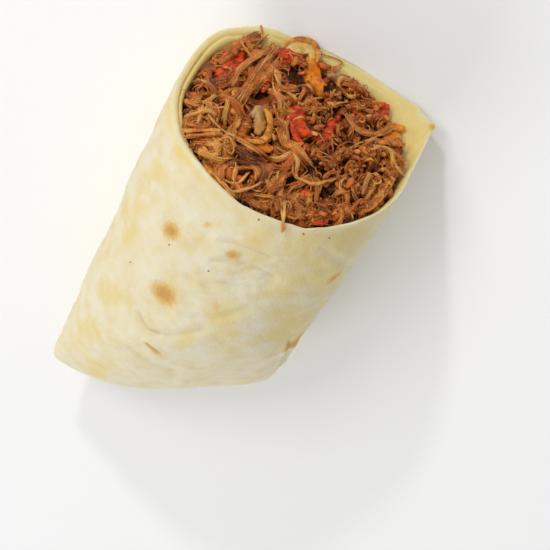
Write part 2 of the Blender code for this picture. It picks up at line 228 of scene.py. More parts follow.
# Strands that show: how they are made, places in the photograph that they run through,
# width in mm, how far out of the heap, tint from dark to tan, and how orange
STRANDS_SEEN = {
    "bundle from the top": ("bundle", ((279, 48), (263, 66), (250, 85), (236, 105)), 2.9, 2.3, 0.52, 0.0),
    "bundle at the upper left": (
        "bundle", ((260, 35), (246, 41), (232, 48), (219, 58)), 2.3, 1.5, 0.44, 0.1,
    ),
    "bundle beside it": ("bundle", ((250, 38), (236, 46), (224, 52), (213, 66)), 1.8, 0.9, 0.5, 0.2),
    "bundle over both": ("bundle", ((268, 50), (251, 60), (239, 70), (231, 83)), 1.3, 3.0, 0.66, 0.35),
    "orange thread at the top": ("thread", ((240, 40), (244, 47), (252, 57)), 0.8, 3.2, 0.86, 0.6),
    "upright thread": ("upright", ((262, 42), (261, 34), (261, 25)), 0.55, 2.0, 0.7, 0.2),
    "second upright thread": ("upright", ((256, 44), (261, 39), (267, 36)), 0.5, 2.0, 0.85, 0.4),
    "bundle from the red piece": (
        "bundle", ((281, 60), (271, 71), (260, 82), (249, 94)), 2.4, 1.7, 0.5, 0.0,
    ),
    "tan branch": ("thread", ((274, 71), (279, 84), (289, 94), (302, 99), (322, 98)), 0.8, 2.3, 0.78, 0.35),
    "second tan branch": ("thread", ((272, 78), (274, 90), (282, 100), (290, 110)), 0.7, 2.2, 0.75, 0.3),
    "over the left edge": ("thread", ((184, 131), (201, 130), (221, 131)), 1.2, 3.0, 0.72, 0.3),
    "its neighbour": ("thread", ((185, 137), (203, 135), (223, 134)), 1.1, 3.0, 0.6, 0.4),
    "thread to the upper left": (
        "thread", ((207, 112), (216, 124), (224, 131), (236, 137)), 0.5, 2.8, 0.86, 0.2,
    ),
    "dark strip": ("bundle", ((233, 146), (245, 153), (259, 161)), 2.6, 1.5, 0.14, 0.0),
    "bright edge of it": ("thread", ((228, 133), (243, 141), (258, 150), (271, 160)), 0.9, 2.4, 0.88, 0.85),
    "pale edge under it": ("thread", ((236, 139), (249, 147), (262, 155)), 0.6, 2.3, 0.95, 0.3),
    "curl over the knot": (
        "thread", ((221, 139), (229, 137), (234, 144), (231, 154), (226, 150)), 0.55, 3.0, 0.85, 0.4,
    ),
    "tan strand by the onion": ("thread", ((241, 117), (237, 126), (230, 133)), 0.9, 2.4, 0.9, 0.6),
    "dark loop": (
        "bundle", ((221, 167), (240, 162), (259, 163), (265, 172), (261, 182)), 1.5, 1.6, 0.26, 0.0,
    ),
    "dark loop, inside": ("thread", ((226, 171), (241, 168), (254, 169), (256, 180)), 0.9, 1.8, 0.35, 0.0),
    "thread under the loop": ("thread", ((222, 179), (236, 184), (249, 172)), 0.7, 2.3, 0.6, 0.3),
    "thread across the edge": (
        "thread", ((222, 181), (232, 191), (246, 189), (260, 183)), 0.7, 3.0, 0.82, 0.45,
    ),
    "second across the edge": ("thread", ((212, 172), (222, 183), (231, 194)), 0.7, 3.0, 0.8, 0.5),
    "bundle in the middle": (
        "bundle", ((280, 127), (290, 140), (299, 153), (309, 165)), 2.7, 2.2, 0.6, 0.1,
    ),
    "frayed end": ("thread", ((290, 150), (297, 160), (299, 174)), 0.8, 2.7, 0.8, 0.2),
    "bright curve": ("thread", ((294, 163), (301, 178), (314, 184), (335, 177)), 0.8, 2.7, 0.72, 0.3),
    "bundle left of the curve": ("bundle", ((290, 166), (278, 180), (265, 193)), 2.4, 1.6, 0.55, 0.0),
    "over the lower edge": (
        "draped", ((285, 203), (284, 213), (283, 222), (282, 233)), 0.75, 2.6, 1.0, 0.2,
    ),
    "second over the edge": (
        "draped", ((281, 207), (282, 215), (284, 223), (285, 229)), 0.45, 2.4, 0.95, 0.3,
    ),
    "curve at the right": ("bundle", ((346, 114), (357, 129), (373, 135), (392, 128)), 1.5, 2.0, 0.6, 0.2),
    "orange strand at the right": ("thread", ((378, 142), (391, 143), (405, 145)), 1.3, 2.2, 0.92, 0.8),
    "hook at the right": ("thread", ((370, 150), (381, 147), (392, 152), (394, 162)), 1.0, 2.0, 0.74, 0.1),
    "lower left tangle": ("bundle", ((244, 196), (256, 204), (272, 208)), 1.8, 1.4, 0.42, 0.2),
    "bottom tangle": ("bundle", ((286, 196), (298, 206), (304, 218)), 2.2, 1.4, 0.6, 0.2),
    "strand down the middle": (
        "bundle", ((311, 100), (304, 108), (291, 112), (279, 110)), 1.9, 1.9, 0.56, 0.3,
    ),
}
# Lumps that show: place in the photograph, radius in mm, how far out, tint and how orange
LUMPS_SEEN = {
    "whorl": ((329, 165), 2.8, 0.9, 0.5, 0.0), "top of the right side": ((350, 85), 3.0, 0.9, 0.5, 0.1),
    "by the red piece": ((376, 103), 3.1, 0.6, 0.5, 0.2),
    "knot at the left": ((225, 148), 2.7, 1.4, 0.74, 0.1),
    "below the knot": ((213, 158), 2.0, 1.2, 0.62, 0.3), "bottom right": ((345, 212), 2.7, 0.8, 0.6, 0.7),
    "right of the whorl": ((353, 170), 2.6, 0.9, 0.5, 0.2), "right": ((368, 150), 2.6, 0.8, 0.46, 0.1),
    "low on the right": ((367, 192), 2.5, 0.7, 0.6, 0.5), "bottom": ((314, 216), 2.6, 0.7, 0.5, 0.3),
    "bottom left": ((262, 205), 2.2, 0.7, 0.42, 0.5), "right edge": ((388, 160), 2.2, 0.8, 0.5, 0.3),
    "left edge": ((200, 108), 2.2, 1.0, 0.55, 0.3), "left, higher": ((210, 122), 2.2, 1.1, 0.6, 0.1),
    "over the middle": ((318, 108), 2.2, 1.0, 0.5, 0.3), "under the top": ((300, 62), 2.0, 1.0, 0.45, 0.1),
    "left of the whorl": ((303, 196), 2.3, 0.8, 0.5, 0.1),
    "between the reds": ((281, 94), 1.8, 0.8, 0.5, 0.2),
}
# Ribbons of pepper and onion skin that show: finish, places, width in mm, how far out
RIBBONS_SEEN = {
    "skin along the left rim": ("stained_skin", ((203, 160), (216, 179), (238, 198)), 2.2, 0.9),
    "tip at the right": ("orange_pepper", ((386, 125), (395, 127), (405, 128)), 2.6, 1.0),
    "second tip at the right": ("orange_pepper", ((382, 141), (393, 143), (404, 147)), 2.0, 0.8),
    "skin at the left": ("stained_skin", ((193, 98), (193, 110), (196, 124)), 2.0, 1.9),
    "tip of the middle piece": ("red_pepper", ((291, 128), (298, 140), (305, 152)), 2.4, 1.5),
    "onion under its skin": ("onion", ((259, 111), (260, 123), (257, 135)), 3.4, 1.5),
    "skin round the onion": (
        "stained_skin", ((264, 108), (270, 117), (270, 130), (263, 140), (251, 141), (243, 135)), 1.8, 2.0,
    ),
    "skin along the right rim": (
        "stained_skin", ((396, 167), (389, 184), (376, 201), (359, 214)), 2.2, 1.7,
    ),
    "arch over the rim": (
        "stained_skin", ((282, 48), (290, 41), (303, 39), (314, 43), (318, 52), (317, 62)), 1.7, 2.9,
    ),
    "inside of the arch": ("pale_onion", ((287, 49), (296, 46), (305, 46), (312, 51), (313, 60)), 2.8, 2.3),
    "loop by the rim": ("stained_skin", ((320, 54), (332, 57), (342, 63), (336, 67), (322, 62)), 0.6, 1.6),
    "red edge": ("red_pepper", ((386, 179), (394, 175), (401, 169)), 1.6, 1.0),
    "red on the right lump": ("red_pepper", ((378, 103), (384, 105), (390, 110)), 2.2, 2.0),
    "red at the left": ("red_pepper", ((190, 122), (192, 130), (196, 138)), 1.6, 1.4),
    "red at the bottom": ("red_pepper", ((312, 222), (320, 223), (328, 221)), 1.7, 1.8),
    "red low in the middle": ("red_pepper", ((300, 193), (308, 192), (317, 194)), 1.5, 1.5),
    "red by the middle": ("red_pepper", ((326, 128), (334, 121), (340, 116)), 1.6, 0.8),
    "red under the bundle": ("red_pepper", ((262, 92), (268, 84), (275, 78)), 1.7, 0.7),
    "red under the arch": ("red_pepper", ((275, 51), (289, 54), (303, 58)), 3.8, 1.9),
    "top of the wedge": ("orange_pepper", ((308, 57), (313, 66), (317, 80), (321, 97)), 3.4, 2.2),
    "red on the left": ("red_pepper", ((215, 75), (226, 68), (236, 60), (245, 53)), 2.6, 1.6),
    "darker beside it": ("red_pepper", ((224, 76), (233, 68), (241, 62)), 1.9, 1.2),
}
# Where the heap is lighter or darker, the gaps darker as painted shade: place in the photograph, radius in
# its pixels, change
TONES_AND_SHADE_SEEN = {
    "pink bundles": ((255, 75), 22, 0.04), "left": ((215, 145), 16, 0.14),
    "dark loop": ((244, 172), 15, -0.16),
    "middle": ((300, 160), 14, 0.1), "upper gap": ((293, 84), 9, -0.45),
    "gap by the onion": ((256, 100), 10, -0.45),
    "right gap": ((337, 120), 12, -0.42), "gap under the curve": ((315, 172), 9, -0.45),
    "lower right": ((365, 190), 24, 0.1), "low gap": ((325, 196), 10, -0.38),
    "loop gap": ((243, 174), 9, -0.3), "left gap": ((290, 182), 8, -0.35),
    "right rim": ((390, 150), 12, 0.12), "bottom": ((290, 212), 18, 0.03),
}
# Gaps with nothing in them but the bottom of the heap, tinted dark as painted shade: place in the
# photograph and radius in mm
GAPS_SEEN = {
    "upper": ((293, 84), 1.8), "beside the onion": ((256, 102), 1.6), "right": ((338, 120), 2.2),
    "under the curve": ((315, 173), 1.7), "low": ((326, 196), 1.8), "left of the curve": ((291, 183), 1.3),
    "beside the dark loop": ((243, 176), 1.7), "under the bundle": ((262, 100), 1.2),
}


def spline(x, knots, values):
    """A smooth curve through the values at the knots, with its slope at each from both sides."""
    knots = np.asarray(knots, float)
    values = np.asarray(values, float)
    slopes = np.gradient(values, knots)
    i = np.clip(np.searchsorted(knots, x, side="right") - 1, 0, len(knots) - 2)
    width = knots[i + 1] - knots[i]
    f = (x - knots[i]) / width
    return (
        values[i] * (1 + 2 * f) * (1 - f) ** 2
        + slopes[i] * width * f * (1 - f) ** 2
        + values[i + 1] * f**2 * (3 - 2 * f)
        + slopes[i + 1] * width * f**2 * (f - 1)
    )


def unit(vectors):
    """Vectors of length 1."""
    return vectors / np.maximum(np.linalg.norm(vectors, axis=-1, keepdims=True), 1e-9)


def grain(points, size, seed=0):
    """Smooth noise from -1 to 1: random values at the corners of a lattice, eased between them."""
    cell = np.asarray(points, float) / size + LATTICE_SHIFT * (seed + 1)
    corner = np.floor(cell).astype(np.int64)
    f = cell - corner
    f = f * f * (3 - 2 * f)
    total = np.zeros(cell.shape[:-1])
    for offset in np.ndindex(*(2,) * cell.shape[-1]):
        key = np.full(cell.shape[:-1], seed * SEED_FACTOR + 17, np.int64)
        weight = np.ones(cell.shape[:-1])
        for axis, step in enumerate(offset):
            key = (key ^ (corner[..., axis] + step)) * MIX_FACTORS[0] & LOW_32_BITS
            key = key ^ (key >> 15)
            weight = weight * (f[..., axis] if step else 1 - f[..., axis])
        key = (key * MIX_FACTORS[1] & LOW_32_BITS) >> 8
        total += weight * ((key & LOW_16_BITS) / (LOW_16_BITS / 2) - 1)
    return total


def layered_grain(points, size, seed=0, layers=3):
    """Noise with finer and weaker noise on it."""
    total = sum(grain(points, size / 2**k, seed + k) / 1.8**k for k in range(layers))
    return total / 1.5


def between(angle, start, end, soft):
    """1 from start to end going up in degrees, 0 outside, with soft ends."""
    after = (angle - start) % 360.0
    span = (end - start) % 360.0
    rise = np.clip(after / soft, 0, 1)
    fall = np.clip((span - after) / soft, 0, 1)
    return np.where(after <= span, np.minimum(rise, fall), 0.0)


def swell(angle, s):
    """Low waves of the wall, dying out at the folded end."""
    a = np.radians(angle)
    waves = (
        0.5 * np.sin(2 * a + 7.0 * s + 0.6)
        + 0.34 * np.sin(3 * a - 11.0 * s + 2.1)
        + 0.26 * np.sin(5 * a + 15.0 * s + 4.0)
        + 0.3 * np.sin(a + 21.0 * s + 1.3)
    )
    return SWELL * waves * (1 - s**3)


def closing(s, start, power):
    """How much of the section is left at s: 1 up to start, 0 at the end."""
    f = np.clip((s - start) / (1 - start), 0, 1)
    return (1 - f**power) ** (1 / power)


def corner_lift(x, z, s):
    """How far the sheet's lower left corner stands off the floor near the cut."""
    sideways = np.clip((-x - CORNER_FROM) / (LEFT[0] - CORNER_FROM), 0, 1)
    low = np.clip(1 - z / MOUTH_MIDDLE, 0, 1)
    return CORNER_LIFT * sideways**1.4 * low * np.exp(-((s / CORNER_FADE) ** 2))


def corner_share(s):
    """How sharp the lower left corner is at s: 1 at the cut, falling off along the roll."""
    return np.exp(-((s / CORNER_FADE * CORNER_SHARP_FADE) ** 2))


def roll_wall(angle, s, layers=0.0, clear=0.0, lower_left=LOWER_LEFT):
    """Points of the wall: layers 0 is its outside and 1 its inside.

    The section at s is four quarters of a power curve, |x / across| ** n +
    |z / along| ** n = 1, each quarter with its own n.
    """
    angle, s = np.broadcast_arrays(np.asarray(angle, float), np.asarray(s, float))
    a = np.radians(angle)
    c, d = np.cos(a), np.sin(a)
    on_right, on_top = c > 0, d > 0
    off = (angle - CORNER_ANGLE + 180.0) % 360.0 - 180.0
    pull = CORNER_PULL * corner_share(s) * np.exp(-((off / CORNER_PULL_ANGLE) ** 2))
    exponent = np.where(
        on_top,
        np.where(on_right, UPPER_RIGHT, UPPER_LEFT),
        np.where(on_right, LOWER_RIGHT, lower_left),
    )
    middle = spline(s, STATIONS, HEIGHT) / 2
    right = spline(s, STATIONS, RIGHT) - layers * DOUBLE - clear
    left = spline(s, STATIONS, LEFT) - layers * SHEET - clear
    upper = middle - layers * SHEET - clear
    lower = middle + SINK - layers * DOUBLE - clear
    across = closing(s, SQUARE_END_FROM, SQUARE_END) * np.where(on_right, right, left)
    along = closing(s, ROUND_END_FROM, ROUND_END) * np.where(on_top, upper, lower)
    wave = swell(angle, s)
    x = (across + wave) * np.sign(c) * np.abs(c) ** (2 / exponent)
    z = middle + (along + wave) * np.sign(d) * np.abs(d) ** (2 / exponent)
    z = z + corner_lift(x, z, s)
    x = x - pull
    end = END_Y - END_SLANT * np.logaddexp(0, (SLANT_FROM - x) / SLANT_SOFT) * SLANT_SOFT
    end = end - layers * END_WALL - clear
    waves = np.sin(4 * a + 0.7) + 0.6 * np.sin(9 * a + 2.0)
    mouth = (z - MOUTH_MIDDLE) * math.tan(TILT) + RIM_WAVE * waves
    y = mouth * (1 - s) + end * s
    return np.stack([x - ORIGIN_X, y - ORIGIN_Y, z], axis=-1)


def resting(points, angle, s):
    """The wall's outside kept off the floor, one sheet higher left of the sheet's free edge."""
    lifted = between(angle, 182.0, OUTER_EDGE_ANGLE, EDGE_WIDTH_ANGLE)
    floor = SHEET * lifted * np.clip((1 - s) * 9, 0, 1)
    points[..., 2] = np.maximum(points[..., 2], floor)
    return points


def even_angles(count, s=0.3, lower_left=LOWER_LEFT):
    """Angles that share the way round the roll evenly."""
    fine = np.linspace(0, 360, 6001)
    ring = roll_wall(fine, s, lower_left=lower_left)
    way = np.linalg.norm(np.diff(ring, axis=0), axis=1)
    way = np.concatenate([[0], np.cumsum(way)])
    return np.interp(np.arange(count) / count * way[-1], way, fine)


# The cut's plane and the camera's directions

CUT_MIDDLE = np.array([-ORIGIN_X, -ORIGIN_Y, MOUTH_MIDDLE])
CUT_ACROSS = np.array([1.0, 0.0, 0.0])
CUT_UP = np.array([0.0, math.sin(TILT), math.cos(TILT)])
CUT_NORMAL = np.cross(CUT_ACROSS, CUT_UP)


def camera_directions():
    """Where the picture's right and up and the way to the camera point."""
    sine, cosine = math.sin(ELEVATION), math.cos(ELEVATION)
    roll_sine, roll_cosine = math.sin(ROLL), math.cos(ROLL)
    right = np.array([-roll_sine, -roll_cosine * sine, -roll_cosine * cosine])
    up = np.array([roll_cosine, -roll_sine * sine, -roll_sine * cosine])
    back = np.array([0.0, -cosine, sine])
    return right, up, back


VIEW_RIGHT, VIEW_UP, VIEW_BACK = camera_directions()
AIM = (
    CUT_MIDDLE
    + VIEW_RIGHT * (PHOTO_SIDE / 2 - CUT_MIDDLE_PX[0]) / PHOTO_SCALE
    + VIEW_UP * (CUT_MIDDLE_PX[1] - PHOTO_SIDE / 2) / PHOTO_SCALE
)
EYE = AIM + VIEW_BACK * DISTANCE


def photo_place(points):
    """Where points come in the photograph, in its pixels."""
    away = points - AIM
    scale = PHOTO_SCALE * DISTANCE / (DISTANCE - away @ VIEW_BACK)
    half = PHOTO_SIDE / 2
    return np.stack([half + away @ VIEW_RIGHT * scale, half - away @ VIEW_UP * scale], -1)


def facing(normals):
    """1 where the sheet faces the camera, falling to 0 where it is seen edge on."""
    return np.clip((normals @ VIEW_BACK) * 4, 0, 1)


def sight_lines(pixels):
    """The ways from the camera through pixels of the photograph, as deep as AIM lies."""
    shift = (pixels - PHOTO_SIDE / 2) / PHOTO_SCALE
    return shift[..., :1] * VIEW_RIGHT - shift[..., 1:] * VIEW_UP - VIEW_BACK * DISTANCE


def cut_place(pixels, height=0.0):
    """The place on the cut, x and v, that shows at the pixels, so high over its plane."""
    pixels = np.asarray(pixels, float)
    height = np.broadcast_to(height, pixels.shape[:-1])
    sight = sight_lines(pixels)
    reach = ((CUT_MIDDLE - EYE) @ CUT_NORMAL + height) / (sight @ CUT_NORMAL)
    hit = EYE + sight * reach[..., None] - CUT_MIDDLE
    return hit @ CUT_ACROSS, hit @ CUT_UP


def seen_place(pixels, out):
    """The place on the cut that shows at the pixels when it is so far out of the heap."""
    x, v = cut_place(pixels)
    for _ in range(3):
        x, v = cut_place(pixels, heap_height(x, v) + out)
    return x, v


def far_out(x, v):
    """How near a place on the cut is to the rim: 0 in the middle and 1 at the rim."""
    return np.clip((x / HEAP_HALF_WIDTH) ** 2 + (v / HEAP_HALF_HEIGHT) ** 2, 0, 1)


def heap_height(x, v):
    """How far the heap stands out of the plane of the cut: a dome with three waves on it."""
    far = far_out(x, v)
    lumps = (
        np.sin(0.42 * x + 0.9) * np.sin(0.37 * v + 0.2)
        + 0.6 * np.sin(0.71 * x - 0.33 * v + 1.9)
        + 0.5 * np.sin(0.29 * x + 0.83 * v + 4.2)
    )
    return DOME * (1 - far) - HEAP_SUNK + LUMP * lumps * (1 - far**3)


def off_cut(x, v, height):
    """Points at x across and v up the cut, so high over its plane."""
    return (
        CUT_MIDDLE
        + x[..., None] * CUT_ACROSS
        + v[..., None] * CUT_UP
        + height[..., None] * CUT_NORMAL
    )


def on_heap(x, v, out):
    """Points at x across and v up the cut, out of the heap by so much."""
    x, v, out = np.broadcast_arrays(x, v, out)
    return off_cut(x, v, heap_height(x, v) + out)


def along_cut(way):
    """Directions in the cut's plane, by their angle in it."""
    return CUT_ACROSS * np.cos(way)[:, None] + CUT_UP * np.sin(way)[:, None]


# Meshes and pieces


def grid_quads(rows, columns):
    """The faces of a grid of points, row after row, each row a closed ring."""
    j, i = np.meshgrid(np.arange(rows - 1), np.arange(columns), indexing="ij")
    k = (i + 1) % columns
    a, b = j * columns, (j + 1) * columns
    return np.stack([a + i, a + k, b + k, b + i], -1).reshape(-1, 4)


def fan(ring, pole):
    """Triangles from a ring of points to a pole."""
    return np.stack([ring, np.roll(ring, -1), np.full(len(ring), pole)], -1)


def capped_grid(rows, ends):
    """A closed shape: rows of points, each row a ring, with a pole before and after them."""
    count, around = rows.shape[:2]
    ring = np.arange(around)
    pole = count * around
    triangles = np.concatenate([fan(ring[::-1], pole), fan(pole - around + ring, pole + 1)])
    return np.concatenate([rows.reshape(-1, 3), ends]), grid_quads(count, around), triangles


def volume_sign(points, quads, triangles):
    """1 if the faces of a closed shape point outwards, -1 if they point inwards."""
    every = np.concatenate([quads[:, [0, 1, 2]], quads[:, [0, 2, 3]], triangles])
    a, b, c = (points[every[:, k]] for k in range(3))
    return np.sign(np.einsum("ij,ij->i", a, np.cross(b, c)).sum())


def make_piece(name, shape, material, slot, *nodes, **attributes):
    """Puts points and faces into a smooth mesh that rides on the body and replaces its nodes."""
    points, quads, triangles = shape
    if volume_sign(points - points.mean(0), quads, triangles) < 0:
        quads, triangles = quads[:, ::-1], triangles[:, ::-1]
    mesh = bpy.data.meshes.new(name)
    loops = np.concatenate([quads.ravel(), triangles.ravel()])
    starts = np.concatenate([
        np.arange(len(quads)) * 4,
        len(quads) * 4 + np.arange(len(triangles)) * 3,
    ])
    mesh.vertices.add(len(points))
    mesh.vertices.foreach_set("co", (points * MM).astype(np.float32).ravel())
    mesh.loops.add(len(loops))
    mesh.loops.foreach_set("vertex_index", loops.astype(np.int32))
    mesh.polygons.add(len(starts))
    mesh.polygons.foreach_set("loop_start", starts.astype(np.int32))
    mesh.update(calc_edges=True)
    mesh.validate()
    mesh.shade_smooth()
    for label, values in attributes.items():
        kind, field = ("FLOAT", "value") if values.ndim == 1 else ("FLOAT_VECTOR", "vector")
        layer = mesh.attributes.new(label, kind, "POINT")
        layer.data.foreach_set(field, values.astype(np.float32).ravel())
    mesh.materials.append(material)
    piece = bpy.data.objects.new(name, mesh)
    bpy.context.scene.collection.objects.link(piece)
    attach(piece, "root")
    if nodes:
        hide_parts(*nodes)
    return piece


def tubes(spine, wide, thick, ribs, ragged=None):
    """Closed tubes round many spines at once, each pulled to a point at its ends.

    A ring's points are spine + across * wide * rib * cos a + up * thick * rib * sin a,
    where up is what is left of the cut's normal square to the spine, and across is
    square to both. ragged moves each of a ring's points along the spine.
    """
    ahead = unit(np.gradient(spine, axis=1))
    across = unit(np.cross(ahead, CUT_NORMAL))
    up = np.cross(across, ahead)
    count, steps, sides = ribs.shape
    a = np.arange(sides) * 2 * np.pi / sides
    out = (
        across[:, :, None] * (np.cos(a) * ribs * wide[..., None])[..., None]
        + up[:, :, None] * (np.sin(a) * ribs * thick[..., None])[..., None]
    )
    points = spine[:, :, None] + out
    if ragged is not None:
        points = points + ahead[:, :, None] * ragged[..., None]
    length = np.linalg.norm(spine[:, -1] - spine[:, -2], axis=-1, keepdims=True)
    near_tip = spine[:, 0] - ahead[:, 0] * length * 0.3
    far_tip = spine[:, -1] + ahead[:, -1] * length * 0.3
    tips = np.stack([near_tip, far_tip], 1)
    each = steps * sides
    first = np.arange(count)[:, None, None] * each
    quads = (grid_quads(steps, sides)[None] + first).reshape(-1, 4)
    pole = count * each + np.arange(count) * 2
    side = np.arange(sides)
    near = first[:, 0] + side
    far = near + each - sides
    near_fan = np.stack([np.roll(near, -1, 1), near, np.repeat(pole[:, None], sides, 1)], -1)
    far_fan = np.stack([far, np.roll(far, -1, 1), np.repeat(pole[:, None] + 1, sides, 1)], -1)
    triangles = np.concatenate([near_fan.reshape(-1, 3), far_fan.reshape(-1, 3)])
    return np.concatenate([points.reshape(-1, 3), tips.reshape(-1, 3)]), quads, triangles


def over_tubes(values, steps, sides):
    """One value for each tube, given to each of its points in the order of the tubes."""
    return np.concatenate([np.repeat(values, steps * sides), np.repeat(values, 2)])


def fibre_places(spine, sides, turns=1.0):
    """For each point of the tubes: how far along and round it is, and which tube it is on."""
    count, steps = spine.shape[:2]
    way = np.linalg.norm(np.diff(spine, axis=1), axis=-1)
    way = np.concatenate([np.zeros((count, 1)), np.cumsum(way, 1)], 1)
    a = np.arange(sides) * 2 * np.pi / sides
    number = np.arange(count) * 3.7
    places = np.empty((count, steps, sides, 3))
    places[..., 0] = way[..., None]
    places[..., 1] = turns * np.cos(a)
    places[..., 2] = number[:, None, None] + turns * np.sin(a)
    tips = np.zeros((count, 2, 3))
    tips[:, 1, 0] = way[:, -1]
    tips[..., 2] = number[:, None]
    return np.concatenate([places.reshape(-1, 3), tips.reshape(-1, 3)])


def joined(*shapes):
    """Several shapes as one."""
    points, quads, triangles, start = [], [], [], 0
    for p, q, t in shapes:
        points.append(p)
        quads.append(q + start)
        triangles.append(t + start)
        start += len(p)
    return np.concatenate(points), np.concatenate(quads), np.concatenate(triangles)


# Materials


def add_node(tree, kind, **settings):
    """A node with its properties set, and its inputs set or linked, with _ for a space."""
    made = tree.nodes.new(kind)
    for key, value in settings.items():
        socket = made.inputs.get(key.replace("_", " "))
        if socket is None:
            setattr(made, key, value)
        elif isinstance(value, bpy.types.NodeSocket):
            tree.links.new(value, socket)
        else:
            socket.default_value = value
    return made


def new_material(name, **sockets):
    """A material with its shader, and the shader's own sockets set."""
    made = bpy.data.materials.new(name)
    made.use_nodes = True
    shader = made.node_tree.nodes["Principled BSDF"]
    for label, value in sockets.items():
        shader.inputs[label.replace("_", " ")].default_value = value
    return made, made.node_tree, shader


def uneven(tree, patch_size, grain_size):
    """The uneven group with its sizes, in metres."""
    made = tree.nodes.new("ShaderNodeGroup")
    made.node_tree = UNEVEN
    made.inputs["Patch Size"].default_value = patch_size
    made.inputs["Grain Size"].default_value = grain_size
    return made


def ramp(tree, value, *stops):
    """A colour that changes with a value through stops of (place, colour)."""
    made = tree.nodes.new("ShaderNodeValToRGB")
    band = made.color_ramp
    while len(band.elements) < len(stops):
        band.elements.new(0.5)
    for element, (place, colour) in zip(band.elements, stops):
        element.position = place
        element.color = (*colour, 1.0)
    tree.links.new(value, made.inputs["Fac"])
    return made.outputs["Color"]


def mixed(tree, share, first, second, blend="MIX"):
    """Two colours mixed by a share."""
    made = tree.nodes.new("ShaderNodeMix")
    made.data_type = "RGBA"
    made.blend_type = blend
    sockets = {"Factor": share, "A": first, "B": second}
    for label, value in sockets.items():
        kind = "VALUE" if label == "Factor" else "RGBA"
        socket = next(s for s in made.inputs if s.name == label and s.type == kind)
        if isinstance(value, bpy.types.NodeSocket):
            tree.links.new(value, socket)
        else:
            socket.default_value = value if label == "Factor" else (*value, 1.0)
    return next(s for s in made.outputs if s.type == "RGBA")


def math_node(tree, operation, *values):
    """One sum of values or sockets."""
    made = tree.nodes.new("ShaderNodeMath")
    made.operation = operation
    for socket, value in zip(made.inputs, values):
        if isinstance(value, bpy.types.NodeSocket):
            tree.links.new(value, socket)
        else:
            socket.default_value = value
    return made.outputs[0]


def uneven_group():
    """Patches and grain of cooked food, from Object coordinates."""
    tree = bpy.data.node_groups.new("uneven", "ShaderNodeTree")
    for label, value in (("Patch Size", 0.012), ("Grain Size", 0.0012)):
        socket = tree.interface.new_socket(label, in_out="INPUT", socket_type="NodeSocketFloat")
        socket.default_value = value
    for label in ("Patches", "Grain", "Height"):
        tree.interface.new_socket(label, in_out="OUTPUT", socket_type="NodeSocketFloat")
    given = tree.nodes.new("NodeGroupInput")
    result = tree.nodes.new("NodeGroupOutput")
    place = tree.nodes.new("ShaderNodeTexCoord").outputs["Object"]
    patch_scale = math_node(tree, "DIVIDE", 1.0, given.outputs["Patch Size"])
    grain_scale = math_node(tree, "DIVIDE", 1.0, given.outputs["Grain Size"])
    noise = "ShaderNodeTexNoise"
    patches = add_node(tree, noise, Vector=place, Scale=patch_scale, Detail=3.0, Roughness=0.55)
    fine = add_node(tree, noise, Vector=place, Scale=grain_scale, Detail=4.0, Roughness=0.6)
    broad, small = patches.outputs["Fac"], fine.outputs["Fac"]
    height = math_node(tree, "MULTIPLY_ADD", broad, 0.6, small)
    for label, value in (("Patches", broad), ("Grain", small), ("Height", height)):
        tree.links.new(value, result.inputs[label])
    return tree


UNEVEN = uneven_group()


def swing(tree, value, amount):
    """A noise value as a swing of so much around 0."""
    return math_node(tree, "MULTIPLY", math_node(tree, "SUBTRACT", value, 0.5), amount)


def mapped(tree, value, low, high, to_low, to_high):
    """A value stretched smoothly from one range to another."""
    made = tree.nodes.new("ShaderNodeMapRange")
    made.interpolation_type = "SMOOTHSTEP"
    tree.links.new(value, made.inputs["Value"])
    ends = {"From Min": low, "From Max": high, "To Min": to_low, "To Max": to_high}
    for label, number in ends.items():
        made.inputs[label].default_value = number
    return made.outputs["Result"]


def tinted(tree, colour, value, *steps):
    """A colour with others over it, each coming in as the value goes from low to high.

    A step is low, high, how much of the colour comes in, and the colour.
    """
    for low, high, share, over in steps:
        colour = mixed(tree, mapped(tree, value, low, high, 0.0, share), colour, over)
    return colour


def attribute(tree, name, output="Fac"):
    """One of the mesh's own values."""
    made = tree.nodes.new("ShaderNodeAttribute")
    made.attribute_name = name
    return made.outputs[output]


def bump(tree, shader, height, distance, strength):
    """Fine relief from a height."""
    made = add_node(tree, "ShaderNodeBump", Height=height, Distance=distance, Strength=strength)
    tree.links.new(made.outputs["Normal"], shader.inputs["Normal"])


